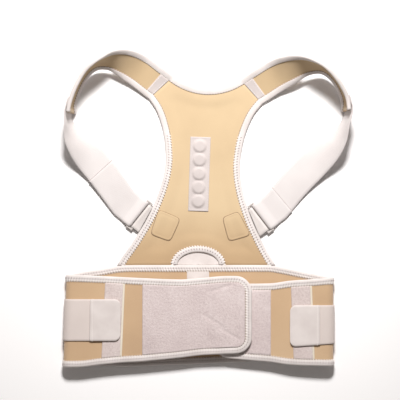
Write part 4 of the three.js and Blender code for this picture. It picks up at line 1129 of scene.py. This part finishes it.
rows = []
for y in np.linspace(STRIP_BOTTOM, STRIP_TOP, 149):
    row = []
    for x in np.linspace(-STRIP_W / 2, STRIP_W / 2, 43):
        edge = min(STRIP_W / 2 - abs(x), STRIP_TOP - y, y - STRIP_BOTTOM)
        pucker = 0.10 * math.sin(y * 1.5) * (1 - smoothstep(edge, 0.5, 3.5))
        welt = 0.35 * math.exp(-((edge - 1.2) / 0.9) ** 2)
        row.append(strip_point(x, y, NEOPRENE + 0.95 + dome(x, y) + welt + pucker))
    rows.append(row)
strip_grid = np.array(rows)
lay("magnet_strip_cloth", strip_grid, flat(strip_grid), 0.7, 0.0, TAPE_DULL, "white_tape")
print("domes at", [round(y, 1) for y in domes])

# %% [markdown]
# ## Sewn patches
# Where a keeper is sewn on, a patch of the same neoprene with round corners shows on the inner face. Its edge is
# pressed down, and a dark cord in the groove round it stands for the shade of the seam.

# %% Patches on the yoke
ANCHOR = {"left": [(62.4, 75.2), (30.4, 63.2), (43.8, 29.5), (72.8, 38.7)],
          "right": [(56.1, 77.6), (34.0, 67.6), (44.6, 33.6), (75.6, 44.0)]}

def rounded_shares(i, j, power=7):
    """Shares across a patch, drawn in near its corners so that they come out round."""
    u, v = 2 * i - 1, 2 * j - 1
    far = max(abs(u), abs(v))
    if far > 0:
        far /= (abs(u) ** power + abs(v) ** power) ** (1 / power)
    return (1 + u * far) / 2, (1 + v * far) / 2

groove_shade_rows = []
for side in SIDES:
    sign = sign_of(side)
    a, b, c, d = (leaned(sign * u, v) for u, v in ANCHOR[side])
    rows = []
    for i in np.linspace(0, 1, 27):
        row = []
        for j in np.linspace(0, 1, 27):
            u, v = rounded_shares(i, j)
            p = (a * (1 - u) + d * u) * (1 - v) + (b * (1 - u) + c * u) * v
            edge = min(i, 1 - i, j, 1 - j) * 34
            press = 0.28 * math.exp(-((edge - 2.4) / 0.8) ** 2)
            p[2] = yoke_z(p[0], p[1]) + NEOPRENE / 2 + 0.55 - press + 0.2 * smoothstep(edge, 3, 8)
            row.append(p)
        rows.append(row)
    g = np.array(rows)
    plan_uv(lay(f"anchor_patch_{side}_cloth", g, flat(g), 0.9, 0.0, NEOPRENE_YOKE, "neoprene_beige", 0.5))
    border = np.concatenate([g[0], g[1:, -1], g[-1, -2::-1], g[-2:0:-1, 0]])
    border[:, :2] += 0.8 * unit_rows(border[:, :2] - border[:, :2].mean(axis=0))
    border[:, 2] = [yoke_z(x, y) + NEOPRENE / 2 + 0.15 for x, y, _ in border]
    along = np.roll(border, -1, axis=0) - np.roll(border, 1, axis=0)
    along[:, 2] = 0
    groove_shade_rows.append((border, unit_rows(along), np.tile(up, (len(border), 1)), True))
print("patches made")

# %% [markdown]
# ## Blank label
# A small white label hangs from the belt's upper binding. It is left bare.

# %% Label
LABEL_X, LABEL_W, LABEL_H = -7.2, 33, 13
label_top = BELT_TOP - BIND_IN - BIND_OUT - 0.6
y, x = np.meshgrid(np.linspace(0, 1, 15), np.linspace(0, 1, 31), indexing="ij")
height = BACK_Z + NEOPRENE / 2 + 0.75 + 0.25 * np.sin(x * 5) * y
g = np.stack([LABEL_X + LABEL_W * (x - 0.5), label_top - LABEL_H * y, height], axis=2)
lay("label_cloth", g, flat(g), 0.5, 0.0, TAPE_SMOOTH, "white_tape")

# %% [markdown]
# ## Stitches
# Every binding is held by a row of slanted stitches beside a row of needle holes, whose dark marks are painted shade.
# They are strong low in the picture and fine and sunk above FINE_ABOVE. The same tree lays grey cords of painted
# shade at the folded-back ends of the elastics, dark cords of painted shade in the grooves of the patches, and the
# running stitches of seam tapes and tabs. Geometry Nodes suit all of them: the tree turns a line of edges into a
# curve, cuts it at an even pitch, and sets one short thread on each point, turned to the direction stored on the
# line.

# %% Stitch tree
SIZE_SOCKETS = ("Pitch", "Length", "Thread", "Drop")

def stitch_tree():
    tree = bpy.data.node_groups.new("stitch_row", "GeometryNodeTree")
    sockets = [("Geometry", "Geometry", "INPUT"), *((name, "Float", "INPUT") for name in SIZE_SOCKETS),
               ("Material", "Material", "INPUT"), ("Geometry", "Geometry", "OUTPUT")]
    for name, kind, way in sockets:
        tree.interface.new_socket(name, in_out=way, socket_type=f"NodeSocket{kind}")

    def new(kind, inputs, **settings):
        return add_node(tree, kind, inputs, **settings)

    def times(value, factor):
        return new("ShaderNodeMath", {0: value, 1: factor}, operation="MULTIPLY")

    def stored(name):
        return new("GeometryNodeInputNamedAttribute", {"Name": name}, data_type="FLOAT_VECTOR")

    given = new("NodeGroupInput", {}).outputs
    line = new("GeometryNodeMeshToCurve", {"Mesh": given["Geometry"]})
    cut = new("GeometryNodeResampleCurve", {"Curve": line, "Length": given["Pitch"]}, mode="LENGTH")
    # one thread: a short arc swept with a round section
    half, low = times(given["Length"], 0.5), times(given["Drop"], -1.0)
    start = new("ShaderNodeCombineXYZ", {"X": times(half, -1.0), "Z": low})
    middle = new("ShaderNodeCombineXYZ", {"Z": given["Drop"]})
    end = new("ShaderNodeCombineXYZ", {"X": half, "Z": low})
    arc = new("GeometryNodeCurveQuadraticBezier", {"Resolution": 4, "Start": start, "Middle": middle, "End": end})
    section = new("GeometryNodeCurvePrimitiveCircle", {"Resolution": 5, "Radius": given["Thread"]})
    thread = new("GeometryNodeCurveToMesh", {"Curve": arc, "Profile Curve": section, "Fill Caps": True})
    # stored directions turn each thread
    turn = new("FunctionNodeAxesToRotation", {"Primary Axis": stored("away"), "Secondary Axis": stored("facing")},
               primary_axis="X", secondary_axis="Z")
    threads = new("GeometryNodeInstanceOnPoints", {"Points": cut, "Instance": thread, "Rotation": turn})
    real = new("GeometryNodeRealizeInstances", {"Geometry": threads})
    finish = new("GeometryNodeSetMaterial", {"Geometry": real, "Material": given["Material"]})
    new("NodeGroupOutput", {"Geometry": finish})
    return tree

STITCH_TREE = stitch_tree()
print("stitch tree:", len(STITCH_TREE.nodes), "nodes")

# %% Lay the rows and turn them into one mesh
def stitch_line(rows):
    """One object of loose edges, with both directions of every thread stored on its points."""
    verts, edges, away, facing = [], [], [], []
    for points, outs, normals, loop in rows:
        base = len(verts)
        verts += [tuple(p * MM) for p in points]
        away += [tuple(o) for o in outs]
        facing += [tuple(n) for n in normals]
        edges += [(base + k, base + k + 1) for k in range(len(points) - 1)]
        if loop:
            edges.append((base + len(points) - 1, base))
    mesh = bpy.data.meshes.new("stitch_line")
    mesh.from_pydata(verts, edges, [])
    for name, values in (("away", away), ("facing", facing)):
        attr = mesh.attributes.new(name, "FLOAT_VECTOR", "POINT")
        attr.data.foreach_set("vector", np.array(values, float).ravel())
    return add_object("stitch_line", mesh)

def lay_stitches(name, rows, material, slot="white_tape", **sizes):
    """Run the tree over the rows, keep what comes out as a plain mesh and drop the line."""
    line = stitch_line(rows)
    mod = line.modifiers.new("stitches", "NODES")
    mod.node_group = STITCH_TREE
    given = dict(sizes, Material=material)
    for item in STITCH_TREE.interface.items_tree:
        if item.name in given:
            mod[item.identifier] = given[item.name]
    deps = bpy.context.evaluated_depsgraph_get()
    mesh = bpy.data.meshes.new_from_object(line.evaluated_get(deps))
    bpy.data.objects.remove(line)
    mesh.polygons.foreach_set("use_smooth", [True] * len(mesh.polygons))
    dress(add_object(name, mesh), material, slot)
    print(name, len(mesh.polygons), "faces")

lay_stitches("binding_stitches", stitch_rows, THREAD, Pitch=0.0040, Length=0.0046, Thread=0.00098, Drop=0.0005)
lay_stitches("fine_stitches", fine_rows, THREAD, Pitch=0.0040, Length=0.0034, Thread=0.0005, Drop=0.0006)
lay_stitches("needle_holes", hole_shade_rows, NEEDLE_HOLE_SHADE, Pitch=0.0040, Length=0.0020, Thread=0.0009, Drop=0.0)
lay_stitches("elastic_ends", end_shade_rows, ELASTIC_END_SHADE, Pitch=0.0015, Length=0.0022, Thread=0.0009, Drop=0.0)
lay_stitches("patch_grooves", groove_shade_rows, PATCH_GROOVE_SHADE, "neoprene_beige",
             Pitch=0.0015, Length=0.0022, Thread=0.00045, Drop=0.0)
lay_stitches("running_stitches", running_rows, THREAD, Pitch=0.0034, Length=0.0022, Thread=0.00035, Drop=0.0003)

# %% [markdown]
# ## Solids that stay
# The rings and magnets are hard, so their solids stay and only get a finish. The hook patch under the
# left flap is hidden and stays too.

# %% Finish the remaining solids
def finish_node(name, material):
    obj = bpy.data.objects.get(name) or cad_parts[name]
    obj.data.materials.clear()
    obj.data.materials.append(material)

for side in SIDES:
    finish_node(f"strap_ring_{side}", RING_PLASTIC)
for k in range(1, 6):
    finish_node(f"magnet_{k}", MAGNET_METAL)
finish_node("flap_hook", LOOP_PILE)
print("rings, magnets and hook patch finished")

# %% [markdown]
# ## Table
# A plain white table, bright enough to melt into the background as in a studio picture.

# %% Floor
FLOOR_SIZE, FLOOR_Z = 12.0, -0.0004  # metres; the lowest stitches dip 0.3 mm below the part
bpy.ops.mesh.primitive_plane_add(size=FLOOR_SIZE, location=(0, 0, FLOOR_Z))
floor = bpy.context.active_object
floor.name = "table"
table = Finish("table_white", 0.7)
table.feed("Base Color", table.ramp(table.noise(2.0), (0.0, srgb(253, 251, 251)), (1.0, srgb(255, 254, 254))))
floor.data.materials.append(table.mat)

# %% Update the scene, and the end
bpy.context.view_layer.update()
